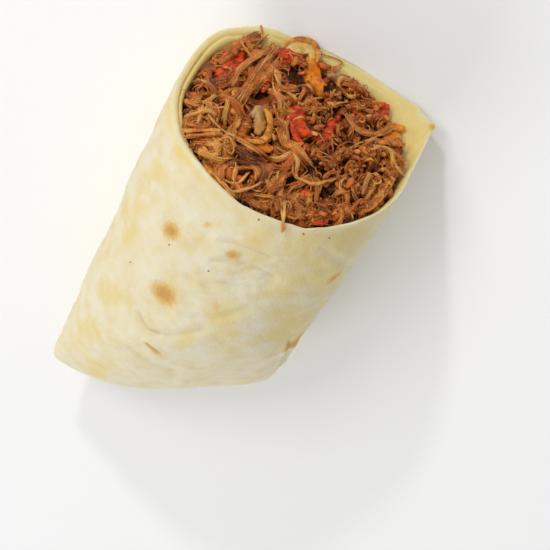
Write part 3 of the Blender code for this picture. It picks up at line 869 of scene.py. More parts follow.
def tortilla_finish():
    """Pale flour tortilla: cream mottled yellower, toasted spots, painted shade in creases and on the
    shaded side, and stained by the cut.
    """
    made, tree, shader = new_material(
        "flour_tortilla", Roughness=0.6, Specular_IOR_Level=0.35, Subsurface_Weight=0.3,
        Subsurface_Radius=(1.0, 0.62, 0.3), Subsurface_Scale=0.003,
    )
    skin = uneven(tree, 0.006, 0.0009)
    wide = uneven(tree, 0.03, 0.004)
    colour = ramp(
        tree, skin.outputs["Patches"],
        (0.31, (0.76, 0.637, 0.35)), (0.5, (0.79, 0.695, 0.45)), (0.69, (0.806, 0.738, 0.55)),
    )
    floury = 0.46, 0.7, 0.5, (0.81, 0.755, 0.61)
    colour = tinted(tree, colour, wide.outputs["Grain"], floury)
    blotch = swing(tree, skin.outputs["Patches"], 1.0)
    # Yellower patches, and painted shade in the same colour on the shaded side
    yellow_and_shade = math_node(tree, "SUBTRACT", attribute(tree, "yellow_and_shade"), blotch)
    colour = tinted(tree, colour, yellow_and_shade, (0.25, 1.1, 0.75, (0.775, 0.62, 0.235)))
    stain = math_node(tree, "ADD", attribute(tree, "stain"), swing(tree, wide.outputs["Grain"], 0.7))
    colour = tinted(
        tree, colour, stain,
        (0.05, 0.55, 0.9, (0.80, 0.635, 0.21)),
        (0.55, 1.0, 0.8, (0.74, 0.48, 0.11)),
        (0.9, 1.3, 0.9, (0.58, 0.22, 0.025)),
    )
    toast = math_node(tree, "ADD", attribute(tree, "toast"), swing(tree, skin.outputs["Grain"], 0.7))
    colour = tinted(
        tree, colour, toast,
        (0.1, 0.6, 0.85, (0.72, 0.45, 0.11)),
        (0.5, 1.0, 0.7, (0.55, 0.26, 0.05)),
        (1.05, 1.3, 0.8, (0.22, 0.09, 0.03)),
    )
    # Painted shade: the sheet darkened along its creases
    colour = tinted(tree, colour, attribute(tree, "crease_shade"), (0.1, 0.4, 0.35, (0.55, 0.42, 0.2)))
    tree.links.new(colour, shader.inputs["Base Color"])
    tree.links.new(mapped(tree, stain, 0.3, 1.2, 0.62, 0.4), shader.inputs["Roughness"])
    bump(tree, shader, skin.outputs["Height"], 0.0003, 0.75)
    return made


def meat_finish():
    """Moist shredded meat: fibres from nearly black, painted shade in the gaps and deep down, to tan, some
    of them orange.
    """
    made, tree, shader = new_material(
        "shredded_meat", Specular_IOR_Level=0.55, Specular_Tint=(1.0, 0.7, 0.42, 1.0),
        Subsurface_Weight=0.14, Subsurface_Radius=(1.0, 0.32, 0.1), Subsurface_Scale=0.0011,
        Coat_Weight=0.26, Coat_Roughness=0.08,
    )
    patchy = uneven(tree, 0.003, 0.00045)
    clumps = uneven(tree, 0.008, 0.0016)
    streaks = add_node(
        tree, "ShaderNodeTexNoise", Vector=attribute(tree, "fibre", "Vector"), Scale=1.0,
        Detail=3.0, Roughness=0.65,
    )
    shift = swing(tree, streaks.outputs["Fac"], 1.0)
    drift = swing(tree, patchy.outputs["Patches"], 0.7)
    speck = swing(tree, patchy.outputs["Grain"], 0.5)
    tone = math_node(tree, "ADD", attribute(tree, "tint"), math_node(tree, "ADD", shift, drift))
    tone = math_node(tree, "ADD", tone, math_node(tree, "ADD", speck, 0.12))
    # The ramp's black end is painted shade for the gaps, the deep shreds and the heap under them
    colour = ramp(
        tree, tone,
        (0.0, (0.010, 0.003, 0.002)), (0.18, (0.075, 0.015, 0.006)), (0.38, (0.30, 0.072, 0.016)),
        (0.6, (0.58, 0.155, 0.022)), (0.82, (0.83, 0.30, 0.048)), (1.05, (0.96, 0.52, 0.13)),
    )
    rich = math_node(tree, "ADD", attribute(tree, "rich"), drift)
    colour = tinted(tree, colour, rich, (0.1, 0.9, 0.75, (0.70, 0.13, 0.010)))
    cool = mapped(tree, clumps.outputs["Patches"], 0.5, 0.66, 0.0, 0.7)
    colour = mixed(tree, cool, colour, (0.68, 0.54, 0.72), "MULTIPLY")
    warm = mapped(tree, clumps.outputs["Grain"], 0.54, 0.68, 0.0, 0.8)
    colour = mixed(tree, warm, colour, (1.4, 1.12, 0.55), "MULTIPLY")
    tree.links.new(colour, shader.inputs["Base Color"])
    wet = mapped(tree, patchy.outputs["Grain"], 0.38, 0.62, 0.14, 0.5)
    tree.links.new(wet, shader.inputs["Roughness"])
    height = math_node(tree, "ADD", streaks.outputs["Fac"], patchy.outputs["Grain"])
    bump(tree, shader, height, 0.0004, 1.0)
    return made


def pepper_finish(name, deep, middle, bright, flesh):
    """Cooked pepper: wet skin with darker patches, and paler flesh at its cut edges."""
    made, tree, shader = new_material(
        name, Specular_IOR_Level=0.45, Specular_Tint=(1.0, 0.7, 0.4, 1.0),
        Subsurface_Weight=0.12, Subsurface_Radius=(1.0, 0.35, 0.1), Subsurface_Scale=0.0012,
        Coat_Weight=0.1, Coat_Roughness=0.1,
    )
    skin = uneven(tree, 0.0022, 0.0004)
    colour = ramp(tree, skin.outputs["Patches"], (0.34, deep), (0.48, middle), (0.64, bright))
    edge = math_node(tree, "ADD", attribute(tree, "edge"), swing(tree, skin.outputs["Grain"], 0.6))
    colour = tinted(tree, colour, edge, (0.5, 1.1, 0.8, flesh))
    tree.links.new(colour, shader.inputs["Base Color"])
    wet = mapped(tree, skin.outputs["Grain"], 0.35, 0.65, 0.1, 0.34)
    tree.links.new(wet, shader.inputs["Roughness"])
    bump(tree, shader, skin.outputs["Height"], 0.0004, 0.7)
    return made


TORTILLA = tortilla_finish()
MEAT = meat_finish()
# Pepper and onion: their darker patches, their colour, their brighter patches and their flesh
SKIN_TONES = {
    "red_pepper": ((0.17, 0.010, 0.002), (0.56, 0.026, 0.002), (0.86, 0.085, 0.004), (0.70, 0.16, 0.012)),
    "orange_pepper": ((0.46, 0.09, 0.006), (0.80, 0.21, 0.008), (0.92, 0.32, 0.014), (0.86, 0.34, 0.03)),
    "stained_skin": ((0.34, 0.09, 0.01), (0.62, 0.20, 0.02), (0.82, 0.38, 0.05), (0.74, 0.34, 0.05)),
    "onion": ((0.26, 0.11, 0.035), (0.42, 0.22, 0.08), (0.62, 0.40, 0.18), (0.62, 0.26, 0.04)),
    "pale_onion": ((0.56, 0.32, 0.07), (0.72, 0.50, 0.15), (0.80, 0.62, 0.25), (0.74, 0.46, 0.11)),
}
SKINS = {name: pepper_finish(name, *tones) for name, tones in SKIN_TONES.items()}


# The tortilla


def distance_to_line(places, line):
    """How far each place is from a line through given places."""
    nearest = np.full(len(places), 1e9)
    for start, end in zip(np.array(line[:-1]), np.array(line[1:])):
        step = end - start
        share = np.clip(((places - start) @ step) / (step @ step), 0, 1)
        off = np.linalg.norm(places - start - share[:, None] * step, axis=1)
        nearest = np.minimum(nearest, off)
    return nearest


def grid_normals(grid):
    """The way out of a grid of points whose rows are rings, from the slopes both ways."""
    wrapped = np.concatenate([grid[:, -1:], grid, grid[:, :1]], 1)
    round_way = (wrapped[:, 2:] - wrapped[:, :-2]) / 2
    return unit(np.cross(round_way, np.gradient(grid, axis=0)))


BUBBLES = 130
BUBBLE_RADII = (1.6, 5.0)
BUBBLE_RISES = (0.14, 0.4)
CREASES_DEEPER = 1.4


def tortilla_relief(points, angle, s):
    """Bubbles, grain and wrinkles of the sheet, in millimetres outwards."""
    draw = np.random.default_rng(5)
    height = 0.3 * layered_grain(points, 9.0, 1) + 0.15 * layered_grain(points, 3.0, 2, 2)
    chosen = points[draw.integers(0, len(points), BUBBLES)]
    radius = draw.uniform(*BUBBLE_RADII, BUBBLES)
    rise = draw.uniform(*BUBBLE_RISES, BUBBLES)
    for centre, wide, high in zip(chosen, radius, rise):
        off = np.linalg.norm(points - centre, axis=1) / wide
        height += high * np.exp(-(off**4))
    stretched = points * np.array([1.0, 0.16, 1.0])
    wrinkled = between(angle, 330.0, 120.0, 30.0)
    height += 0.16 * grain(stretched, 2.6, 9) * wrinkled * np.exp(-(((s - 0.2) / 0.2) ** 2))
    return height * np.clip((1.0 - s) * 16, 0.2, 1) * np.clip(s * 30, 0.15, 1)


def seen_creases(points, normals):
    """The creases that the photograph shows: how deep, and how much painted shade darkens them."""
    pixels = photo_place(points)
    seen = facing(normals)
    depth, crease_shade = np.zeros(len(points)), np.zeros(len(points))
    for line, deep, wide in CREASES_SEEN.values():
        off = distance_to_line(pixels, line) / PHOTO_SCALE / wide
        groove = np.exp(-(off**2)) - 0.45 * np.exp(-((off - 2.0) ** 2))
        depth += CREASES_DEEPER * seen * deep * groove
        # Painted shade: the sheet darkened along the crease
        crease_shade = np.maximum(crease_shade, seen * deep * np.exp(-((off * 1.5) ** 2)))
    for places, deep, wide in CREASES_HIDDEN.values():
        angle, s = np.array(places).T
        knots = np.arange(len(places))
        fine = np.linspace(0, knots[-1], 24)
        turned = spline(fine, knots, np.unwrap(angle, period=360))
        line = roll_wall(turned, spline(fine, knots, s))
        off = distance_to_line(points, line) / wide
        depth += deep * (np.exp(-(off**2)) - 0.5 * np.exp(-((off - 2.0) ** 2)))
        # Painted shade along the hidden crease
        crease_shade = np.maximum(crease_shade, 0.6 * deep * np.exp(-((off * 1.5) ** 2)))
    return depth, crease_shade


PRESSED_PX = (252, 276)
PRESSED_REACH_PX = (44, 20)
PRESSED_DEPTH = 0.9
PRESSED_WRINKLE = 0.42


def pressed_side(points, normals):
    """The pressed hollow with fine wrinkles on the shaded side, in millimetres inwards."""
    pixels = photo_place(points)
    off = np.hypot(*((pixels - PRESSED_PX) / PRESSED_REACH_PX).T)
    share = np.exp(-(off**2)) * facing(normals)
    wrinkle = layered_grain(np.stack([pixels[:, 0] * 0.25, pixels[:, 1]], -1), 4.5, 3, 2)
    return share * (PRESSED_DEPTH + PRESSED_WRINKLE * wrinkle)


def spots(points, normals):
    """Fields that are 1 in the middle of toasted spots and yellower patches, less around them; painted
    shade in the slit and on the shaded side.
    """
    pixels = photo_place(points)
    seen = normals @ VIEW_BACK > EDGE_ON
    toast = np.zeros(len(points))
    for pixel, long, wide, turn, strength in TOASTED_SEEN.values():
        away = (pixels - pixel) / PHOTO_SCALE
        c, d = math.cos(math.radians(turn)), math.sin(math.radians(turn))
        along = (away[:, 0] * c + away[:, 1] * d) / long
        aside = (away[:, 1] * c - away[:, 0] * d) / wide
        off = np.hypot(along, aside)
        toast = np.maximum(toast, seen * strength * np.exp(-(off**2.4) * 0.7))
    for angle, s, radius, strength in TOASTED_HIDDEN.values():
        off = np.linalg.norm(points - roll_wall(angle, s), axis=1) / radius
        toast = np.maximum(toast, strength * np.exp(-(off**2.6) * 0.7))
    yellow_and_shade = 0.5 + 0.5 * layered_grain(points, 16.0, 21, 2)
    yellow_and_shade = np.clip(yellow_and_shade, 0, 1) * 0.55
    # Yellower patches, those on the shaded side being painted shade
    for pixel, radius in YELLOW_AND_SHADE_SEEN.values():
        off = np.linalg.norm(pixels - pixel, axis=1) / PHOTO_SCALE / radius
        yellow_and_shade = np.maximum(yellow_and_shade, seen * 0.95 * np.exp(-(off**2)))
    return toast, yellow_and_shade


# The rim, from the outside over the edge to the inside: how far through the wall, and
# how far in from the cut where the sheet is single and where it lies double
RIM_PROFILE = (
    (0.0, 1.0, 1.0), (0.012, 0.55, 0.55), (0.045, 0.22, 0.22), (0.09, 0.05, 0.05), (0.15, 0.0, 0.0),
    (0.22, 0.05, 0.04), (0.3, 0.2, 0.1), (0.38, 0.42, 0.22), (0.44, 0.62, 0.5), (0.48, 0.76, 0.95),
    (0.5, 0.84, 1.15), (0.52, 0.92, 1.0), (0.56, 1.08, 0.8), (0.62, 1.35, 0.75), (0.7, 1.75, 0.85),
    (0.78, 2.25, 1.15), (0.86, 2.9, 1.75), (0.94, 3.65, 2.7), (1.0, 4.3, 4.0),
)


def corner_fill(through):
    """The lower left corner's roundness: sharp outside, and closing in on the meat inside."""
    share = np.clip((through - 0.2) / 0.8, 0, 1) ** 0.9
    sharp = LOWER_LEFT + CORNER_SHARPER
    return sharp + (FILLING_LOWER_LEFT + 0.2 - sharp) * share


def round_rim(angles):
    """Places on a circle about as wide as the rim, for noise that closes on itself."""
    a = np.radians(angles)
    return np.stack([np.cos(a), np.sin(a)], -1) * 30


def rim_rows(angles):
    """The sheet's thin edge at the cut, sloping in to the meat, with a step where it is double."""
    doubled = between(angles, OUTER_EDGE_ANGLE, INNER_EDGE_ANGLE, 16.0)
    way = round_rim(angles)
    ragged = layered_grain(way, 5.0, 41, 3)
    fine = grain(way, 1.6, 45)
    inner_ragged = layered_grain(way, 7.0, 43, 2)
    rows = []
    for through, single, double in RIM_PROFILE:
        if through < 0.5:
            wave = 0.55 * ragged + 0.12 * fine
        else:
            wave = 0.35 * ragged + 0.5 * inner_ragged
        depth = single + (double - single) * doubled + wave * (0.3 + 0.7 * min(1, through * 8))
        row = roll_wall(angles, np.maximum(depth, 0) / END_Y, through, 0.0, corner_fill(through))
        row[:, 1] += np.minimum(depth, 0)
        rows.append(resting(row, angles, 0.0) if through < 0.1 else row)
    return np.stack(rows)


SPECK_RADII = (0.00015, 0.00042)
SPECK_COLOUR = (0.15, 0.07, 0.03)
# How many pixels farther off a hidden place counts, so that no speck lands there
HIDDEN_PX = 99.0


def add_specks(material, points, normals):
    """Tiny dark specks, each around one point of the sheet, put over the material's colour."""
    tree = material.node_tree
    socket = tree.nodes["Principled BSDF"].inputs["Base Color"]
    colour = socket.links[0].from_socket
    place = tree.nodes.new("ShaderNodeTexCoord").outputs["Object"]
    away = photo_place(points)[None] - np.array(SPECKS_SEEN)[:, None]
    off = np.linalg.norm(away, axis=-1) + HIDDEN_PX * (normals @ VIEW_BACK < EDGE_ON)
    nearest = 1.0
    for centre in points[off.argmin(1)]:
        gap = tree.nodes.new("ShaderNodeVectorMath")
        gap.operation = "DISTANCE"
        tree.links.new(place, gap.inputs[0])
        gap.inputs[1].default_value = centre * MM
        nearest = math_node(tree, "MINIMUM", gap.outputs["Value"], nearest)
    share = mapped(tree, nearest, *SPECK_RADII, 0.9, 0.0)
    tree.links.new(mixed(tree, share, colour, SPECK_COLOUR), socket)


def make_tortilla():
    """The sheet as one closed surface: the folded end, the outside, the rim, the inside."""
    angles = even_angles(ROUND_ROLL)
    f = np.arange(ALONG_ROLL) / ALONG_ROLL
    first_s = 1.0 / END_Y
    outer_s = (first_s + (1 - first_s) * np.sin(f * np.pi / 2) ** 0.9)[1:]
    grid_angle, grid_s = np.meshgrid(angles, outer_s)
    roundness = LOWER_LEFT + CORNER_SHARPER * corner_share(grid_s)
    outer = roll_wall(grid_angle, grid_s, 0.0, 0.0, roundness)
    outer = resting(outer, grid_angle, grid_s)
    normals = grid_normals(outer)
    if (normals[20, :, 2] * (outer[20, :, 2] - MOUTH_MIDDLE)).sum() < 0:
        normals = -normals
    flat, flat_normals = outer.reshape(-1, 3), normals.reshape(-1, 3)
    relief = tortilla_relief(flat, grid_angle.ravel(), grid_s.ravel())
    depth, crease_shade = seen_creases(flat, flat_normals)
    pressed = pressed_side(flat, flat_normals)
    moved = flat + flat_normals * (relief - depth - pressed)[:, None]
    outer = resting(moved.reshape(outer.shape), grid_angle, grid_s)
    rim = rim_rows(angles)
    inner_s = 0.055 + 0.94 * np.sin(np.linspace(0.012, 0.985, ALONG_INSIDE) * np.pi / 2) ** 1.3
    inner = roll_wall(angles[None], inner_s[:, None], 1.0, 0.0, FILLING_LOWER_LEFT + 0.2)
    rows = np.concatenate([outer[::-1], rim, inner])
    shape = capped_grid(rows, [roll_wall(0.0, 1.0), roll_wall(0.0, 1.0, 1.0)])
    toast, yellow_and_shade = spots(flat, flat_normals)
    add_specks(TORTILLA, outer.reshape(-1, 3), flat_normals)
    through = np.array([step[0] for step in RIM_PROFILE])
    oily = 0.5 + 0.5 * layered_grain(round_rim(angles), 6.0, 61, 2)
    meat_side = np.clip((through[:, None] - 0.45) / 0.55, 0, 1) ** 1.5
    double = between(angles, OUTER_EDGE_ANGLE, INNER_EDGE_ANGLE, 14.0)
    inside_share = np.clip(through[:, None] * 2 + 0.15 * double, 0, 1)
    rim_stain = 0.08 + (0.32 + 0.2 * oily) * inside_share + (0.1 + 0.4 * oily) * meat_side
    depth = grid_s * END_Y
    left_side = between(grid_angle, 330.0, 100.0, 40.0)
    near_cut = 0.32 * np.exp(-depth / 1.4) + 0.45 * left_side * np.exp(-depth / 5.0)
    yellower = 0.34 * between(angles, 150.0, 262.0, 20.0)
    inside = 0.4 + yellower + 0.75 * np.clip((inner_s[:, None] * END_Y - 6) / 14, 0, 1)
    stain = np.concatenate([near_cut[::-1].ravel(), rim_stain.ravel(), inside.ravel(), [0.0, 0.8]])
    past = shape[0][outer.size // 3:]
    rest = len(past)
    full = {}
    for label, values in (("toast", toast), ("yellow_and_shade", yellow_and_shade), ("crease_shade", crease_shade)):
        values = values.reshape(outer.shape[:2])[::-1].ravel()
        full[label] = np.concatenate([values, np.zeros(rest)])
    off = np.linalg.norm(photo_place(past) - CORNER_SPOT_PX, axis=1) / PHOTO_SCALE
    full["toast"][-rest:] = 0.95 * np.exp(-(off**2))
    make_piece("rolled_tortilla", shape, TORTILLA, "tortilla", "tortilla", stain=stain, **full)


# The heap of shredded meat

CORE_RECESS = 2.8
CORE_CLEAR = 0.7
SPIRAL_TURN = math.radians(137.507)
CLUSTER_TURN = math.radians(137.5)
WIDE_RIBBON = 2.2
FINE_FROM_PX = (275.0, 165.0)
FINE_OVER_PX = (55.0, 35.0)


def cut_edge():
    """How far the tortilla's inside is from the cut's middle, by direction in its plane."""
    angles = even_angles(720, 0.0, FILLING_LOWER_LEFT)
    edge = roll_wall(angles, 0.03, 1.0, 0.35, FILLING_LOWER_LEFT) - CUT_MIDDLE
    x, v = edge @ CUT_ACROSS, edge @ CUT_UP
    way = np.arctan2(v, x)
    order = np.argsort(way)
    return way[order], np.hypot(x, v)[order]


EDGE_WAY, EDGE_REACH = cut_edge()


def room_to_edge(way):
    """How far the tortilla's inside is in given directions from the middle of the cut."""
    return np.interp(way, EDGE_WAY, EDGE_REACH, period=2 * np.pi)


def held_inside(x, v, limit=0.95):
    """Places drawn in so that none is past limit of the way to the tortilla."""
    reach = np.hypot(x, v)
    room = room_to_edge(np.arctan2(v, x)) * limit
    share = np.where(reach > room, room / np.maximum(reach, 1e-6), 1.0)
    return x * share, v * share


def make_core():
    """The heap under the shreds, tinted nearly black as painted shade: a lumpy face on the cut, and its
    side down the roll.
    """
    angles = even_angles(ROUND_CORE, 0.1, FILLING_LOWER_LEFT)
    s = 0.03 + 0.955 * np.sin(np.linspace(0, 0.96, ALONG_CORE) * np.pi / 2)
    side = roll_wall(angles[None], s[:, None], 1.0, CORE_CLEAR, FILLING_LOWER_LEFT)
    edge = side[0] - CUT_MIDDLE
    x, v, rise = edge @ CUT_ACROSS, edge @ CUT_UP, edge @ CUT_NORMAL
    share = np.linspace(0, 1, CORE_RINGS + 1)[1:-1, None]
    fx, fv = x * share, v * share
    bumps = layered_grain(np.stack([fx, fv], -1), 3.4, 12) * 1.2 - CORE_RECESS
    out = (heap_height(fx, fv) + bumps) * (1 - share**8) + (rise - 1.5) * share**8
    rows = np.concatenate([off_cut(fx, fv, out), side])
    back = roll_wall(0.0, 1.0, 1.0, CORE_CLEAR, FILLING_LOWER_LEFT)
    shape = capped_grid(rows, [on_heap(0.0, 0.0, -CORE_RECESS), back])
    # Painted shade: a tint near the ramp's black end
    tint = np.clip(0.12 + 0.16 * layered_grain(shape[0], 3.0, 30), 0, 1)
    fibre = shape[0] * np.array([1.6, 0.5, 0.7])
    make_piece("meat_core", shape, MEAT, "meat", "filling", tint=tint, rich=tint * 0, fibre=fibre)


def on_ribbon(x, v, grow):
    """Whether places on the cut lie on one of the wider ribbons, grown by so much."""
    hit = np.zeros(np.shape(x), bool)
    places = np.stack([np.ravel(x), np.ravel(v)], -1)
    for _, pixels, width, out in RIBBONS_SEEN.values():
        if width > WIDE_RIBBON:
            line = np.stack(seen_place(smooth_line(pixels, 9), np.full(9, out)), -1)
            near = distance_to_line(places, line) < width / 2 + grow
            hit |= near.reshape(np.shape(x))
    return hit


def on_vegetable(x, v, grow):
    """Whether places on the cut lie on a piece of pepper or onion, grown by so much."""
    hit = on_ribbon(x, v, grow - 0.3)
    for px, pv, turn, _, _, size in VEGETABLES.values():
        a = math.radians(turn)
        dx, dv = x - px, v - pv
        along = np.abs(dx * math.cos(a) + dv * math.sin(a)) / (size[0] / 2 + grow)
        aside = np.abs(dv * math.cos(a) - dx * math.sin(a)) / (size[1] / 2 + grow)
        hit |= along**2 + aside**2 < 1
    return hit


def bent_paths(x, v, turn, length, curl, out, arch, sag, steps, draw):
    """Spines on the heap, each turned by turn and bent by curl to either side of its middle.

    Its height is out + arch * (1 - f^2) - sag * f^4 at f from -1 to 1 along it.
    """
    f = np.linspace(-1, 1, steps)
    count = len(x)
    each = count, 1
    wobble = draw.uniform(-0.25, 0.25, each)
    wobble = wobble * np.sin(draw.uniform(2, 5, each) * f + draw.uniform(0, 6, each))
    way = turn[:, None] + curl[:, None] * f + wobble
    step = (length / (steps - 1))[:, None]
    px = np.cumsum(np.cos(way) * step, 1)
    pv = np.cumsum(np.sin(way) * step, 1)
    px = x[:, None] + px - px.mean(1, keepdims=True)
    pv = v[:, None] + pv - pv.mean(1, keepdims=True)
    lift = out[:, None] + arch[:, None] * (1 - f**2) - sag[:, None] * f**4
    return px, pv, lift


def clump_way(x, v):
    """The way that the fibres lie at a place, which changes slowly over the cut."""
    place = np.stack([x, v], -1)
    return 2.6 * grain(place, 13.0, 71) + 1.6 * grain(place, 7.0, 72) + 0.9


def edge_places(count, draw):
    """Places close to the tortilla, all the way round."""
    way = draw.uniform(-np.pi, np.pi, count)
    reach = draw.uniform(0.9, 0.99, count) * room_to_edge(way)
    return reach * np.cos(way), reach * np.sin(way)


def spread_places(count, draw):
    """Places spread evenly over the cut in a spiral, each moved a little at random."""
    i = np.arange(count) + 0.5
    share = np.sqrt(i / count)
    way = i * SPIRAL_TURN + draw.uniform(-0.1, 0.1, count)
    room = room_to_edge((way + np.pi) % (2 * np.pi) - np.pi)
    x = share * room * np.cos(way) + draw.normal(0, 1.0, count)
    v = share * room * np.sin(way) + draw.normal(0, 1.0, count)
    return held_inside(x, v, 0.95)


def spread_and_edge_places(count, edge_count, draw):
    """Places over the whole cut, and more of them close to the tortilla."""
    places = zip(spread_places(count, draw), edge_places(edge_count, draw))
    return (np.concatenate(pair) for pair in places)


def fineness(x, v):
    """How fine the heap is: 0 at the long bundles, 1 in the crumbly part at the right."""
    pixels = photo_place(on_heap(x, v, 0.0))
    share = np.clip((pixels - FINE_FROM_PX) / FINE_OVER_PX, 0, 1)
    return np.maximum(share[..., 0], share[..., 1] * 0.6)


def heap_tone_and_shade(x, v):
    """How much lighter or darker the heap is at a place, by its clumps and by what shows, with painted
    shade in the gaps.
    """
    tone = 0.09 * layered_grain(np.stack([x, v], -1), 7.0, 81, 2)
    for pixel, radius, change in TONES_AND_SHADE_SEEN.values():
        cx, cv = seen_place(pixel, 0.0)
        reach = radius / PHOTO_SCALE
        # Painted shade where a gap darkens the heap
        tone = tone + change * np.exp(-((x - cx) ** 2 + (v - cv) ** 2) / reach**2)
    return tone


def in_gap(x, v, grow=0.0):
    """Whether places on the cut lie in one of the gaps."""
    hit = np.zeros(np.shape(x), bool)
    for pixel, radius in GAPS_SEEN.values():
        cx, cv = seen_place(pixel, -0.5)
        hit |= np.hypot(x - cx, v - cv) < radius + grow
    return hit


def shred_bodies(spine, wide, thick, draw, blunt=(2.2, 6.0)):
    """Ribbed bodies that twist a little, whose ribs, like fibres, end at different places."""
    count, steps = spine.shape[:2]
    f = np.linspace(-1, 1, steps)[None, :, None]
    each, each_rib = (count, 1), (count, 1, BODY_SIDES)
    rib = 1 + draw.uniform(-0.24, 0.24, each_rib)
    pace = draw.uniform(2, 7, each_rib)
    rib = rib + 0.1 * np.sin(pace * f + draw.uniform(0, 6, each_rib))
    ends = (1 - np.abs(f[..., 0]) ** draw.uniform(*blunt, each)) ** 0.5
    waist = 1 + 0.2 * np.sin(draw.uniform(1.5, 4, each) * f[..., 0] + draw.uniform(0, 6, each))
    profile = np.maximum(ends, 0.08) * waist
    torn = np.clip(np.abs(f) - 0.45, 0, 1) ** 1.4
    ragged = np.sign(f) * torn * draw.uniform(-2.4, 2.6, each_rib)
    return tubes(spine, wide[:, None] * profile, thick[:, None] * profile, rib, ragged=ragged)


def thinned(spine):
    """A body's spine with as many points as a fibre has."""
    return spine[:, np.linspace(0, BODY_STEPS - 1, FIBRE_STEPS).round().astype(int)]


def fibre_spines(spine, wide, thick, each, draw, fray=1.0):
    """Fibres that lie on each body and part from it at its ends."""
    f = np.linspace(-1, 1, spine.shape[1])
    ahead = unit(np.gradient(spine, axis=1))
    across = unit(np.cross(ahead, CUT_NORMAL))
    up = np.cross(across, ahead)
    size = len(spine), each, 1
    a = draw.uniform(-0.35, np.pi + 0.35, size) + draw.uniform(-0.4, 0.4, size) * f
    part = 0.98 + fray * draw.uniform(0, 0.9, size) * np.abs(f) ** 4
    aside = np.cos(a) * part + fray * draw.normal(0, 0.35, size) * f**3
    rise = np.sin(a) * (1 + fray * draw.uniform(-0.3, 0.5, size) * f**4)
    offset = (
        across[:, None] * (aside * wide[:, None, None])[..., None]
        + up[:, None] * (rise * thick[:, None, None])[..., None]
    )
    slide = draw.uniform(-1.2, 1.2, size)[..., None] * ahead[:, None]
    return (spine[:, None] + offset + slide).reshape(-1, *spine.shape[1:])


def thread_shape(spine, radius, draw):
    """Thin tubes, uneven along their length."""
    count, steps = spine.shape[:2]
    f = np.linspace(-1, 1, steps)[None]
    each = count, 1
    uneven_width = 1 + 0.25 * np.sin(draw.uniform(3, 9, each) * f + draw.uniform(0, 6, each))
    taper = np.maximum(1 - np.abs(f) ** 9, 0.35) * uneven_width
    ribs = 1 + draw.uniform(-0.25, 0.25, (*each, FIBRE_SIDES)) + np.zeros((count, steps, FIBRE_SIDES))
    size = radius[:, None] * taper
    return tubes(spine, size * 1.2, size * 0.85, ribs)


class Batch:
    """Tubes gathered for one piece, with their tints and fibre places."""

    def __init__(self):
        self.shapes, self.tints, self.riches, self.places = [], [], [], []

    def add(self, shape, spine, sides, tint, rich, turns=1.0):
        steps = spine.shape[1]
        self.shapes.append(shape)
        self.tints.append(over_tubes(np.clip(tint, 0.02, 1), steps, sides))
        self.riches.append(over_tubes(np.clip(rich, 0, 1), steps, sides))
        self.places.append(fibre_places(spine, sides, turns) * np.array([0.3, 1.0, 1.0]))

    def make(self, name):
        make_piece(
            name, joined(*self.shapes), MEAT, "meat", "filling",
            tint=np.concatenate(self.tints), rich=np.concatenate(self.riches),
            fibre=np.concatenate(self.places),
        )


def shred_spines(count, seed, low, high, length, lean, bend):
    """Spines for shreds over the cut, in clumps, clear of gaps and of what lies on top."""
    draw = np.random.default_rng(seed)
    x, v = spread_places(count, draw)
    turn = clump_way(x, v) + draw.normal(0, lean, count)
    fine = fineness(x, v)
    size = draw.uniform(*length, count) * (1 - 0.45 * fine)
    curl = draw.normal(0, bend, count) * (1 + 1.1 * fine)
    far = far_out(x, v)
    out = draw.uniform(low, high, count) + 0.7 * grain(np.stack([x, v], -1), 6.0, 90) + 0.9 * far**2
    arch = draw.uniform(0, 0.9, count)
    sag = draw.uniform(-0.6, 1.6, count)
    px, pv, lift = bent_paths(x, v, turn, size, curl, out, arch, sag, BODY_STEPS, draw)
    slope = draw.normal(0, 0.5, count)[:, None] * np.linspace(-1, 1, BODY_STEPS)
    px, pv = held_inside(px, pv, 0.97 if high < 0 else 1.0)
    kept = ~in_gap(px, pv, 0.5).any(1) | (high < -1)
    kept &= ~on_vegetable(px, pv, 0.1).any(1) | (out < low + 0.3 * (high - low))
    lift = np.where(on_vegetable(px, pv, 0.3), np.minimum(lift, -2.0), lift + slope)
    return px[kept], pv[kept], lift[kept], draw


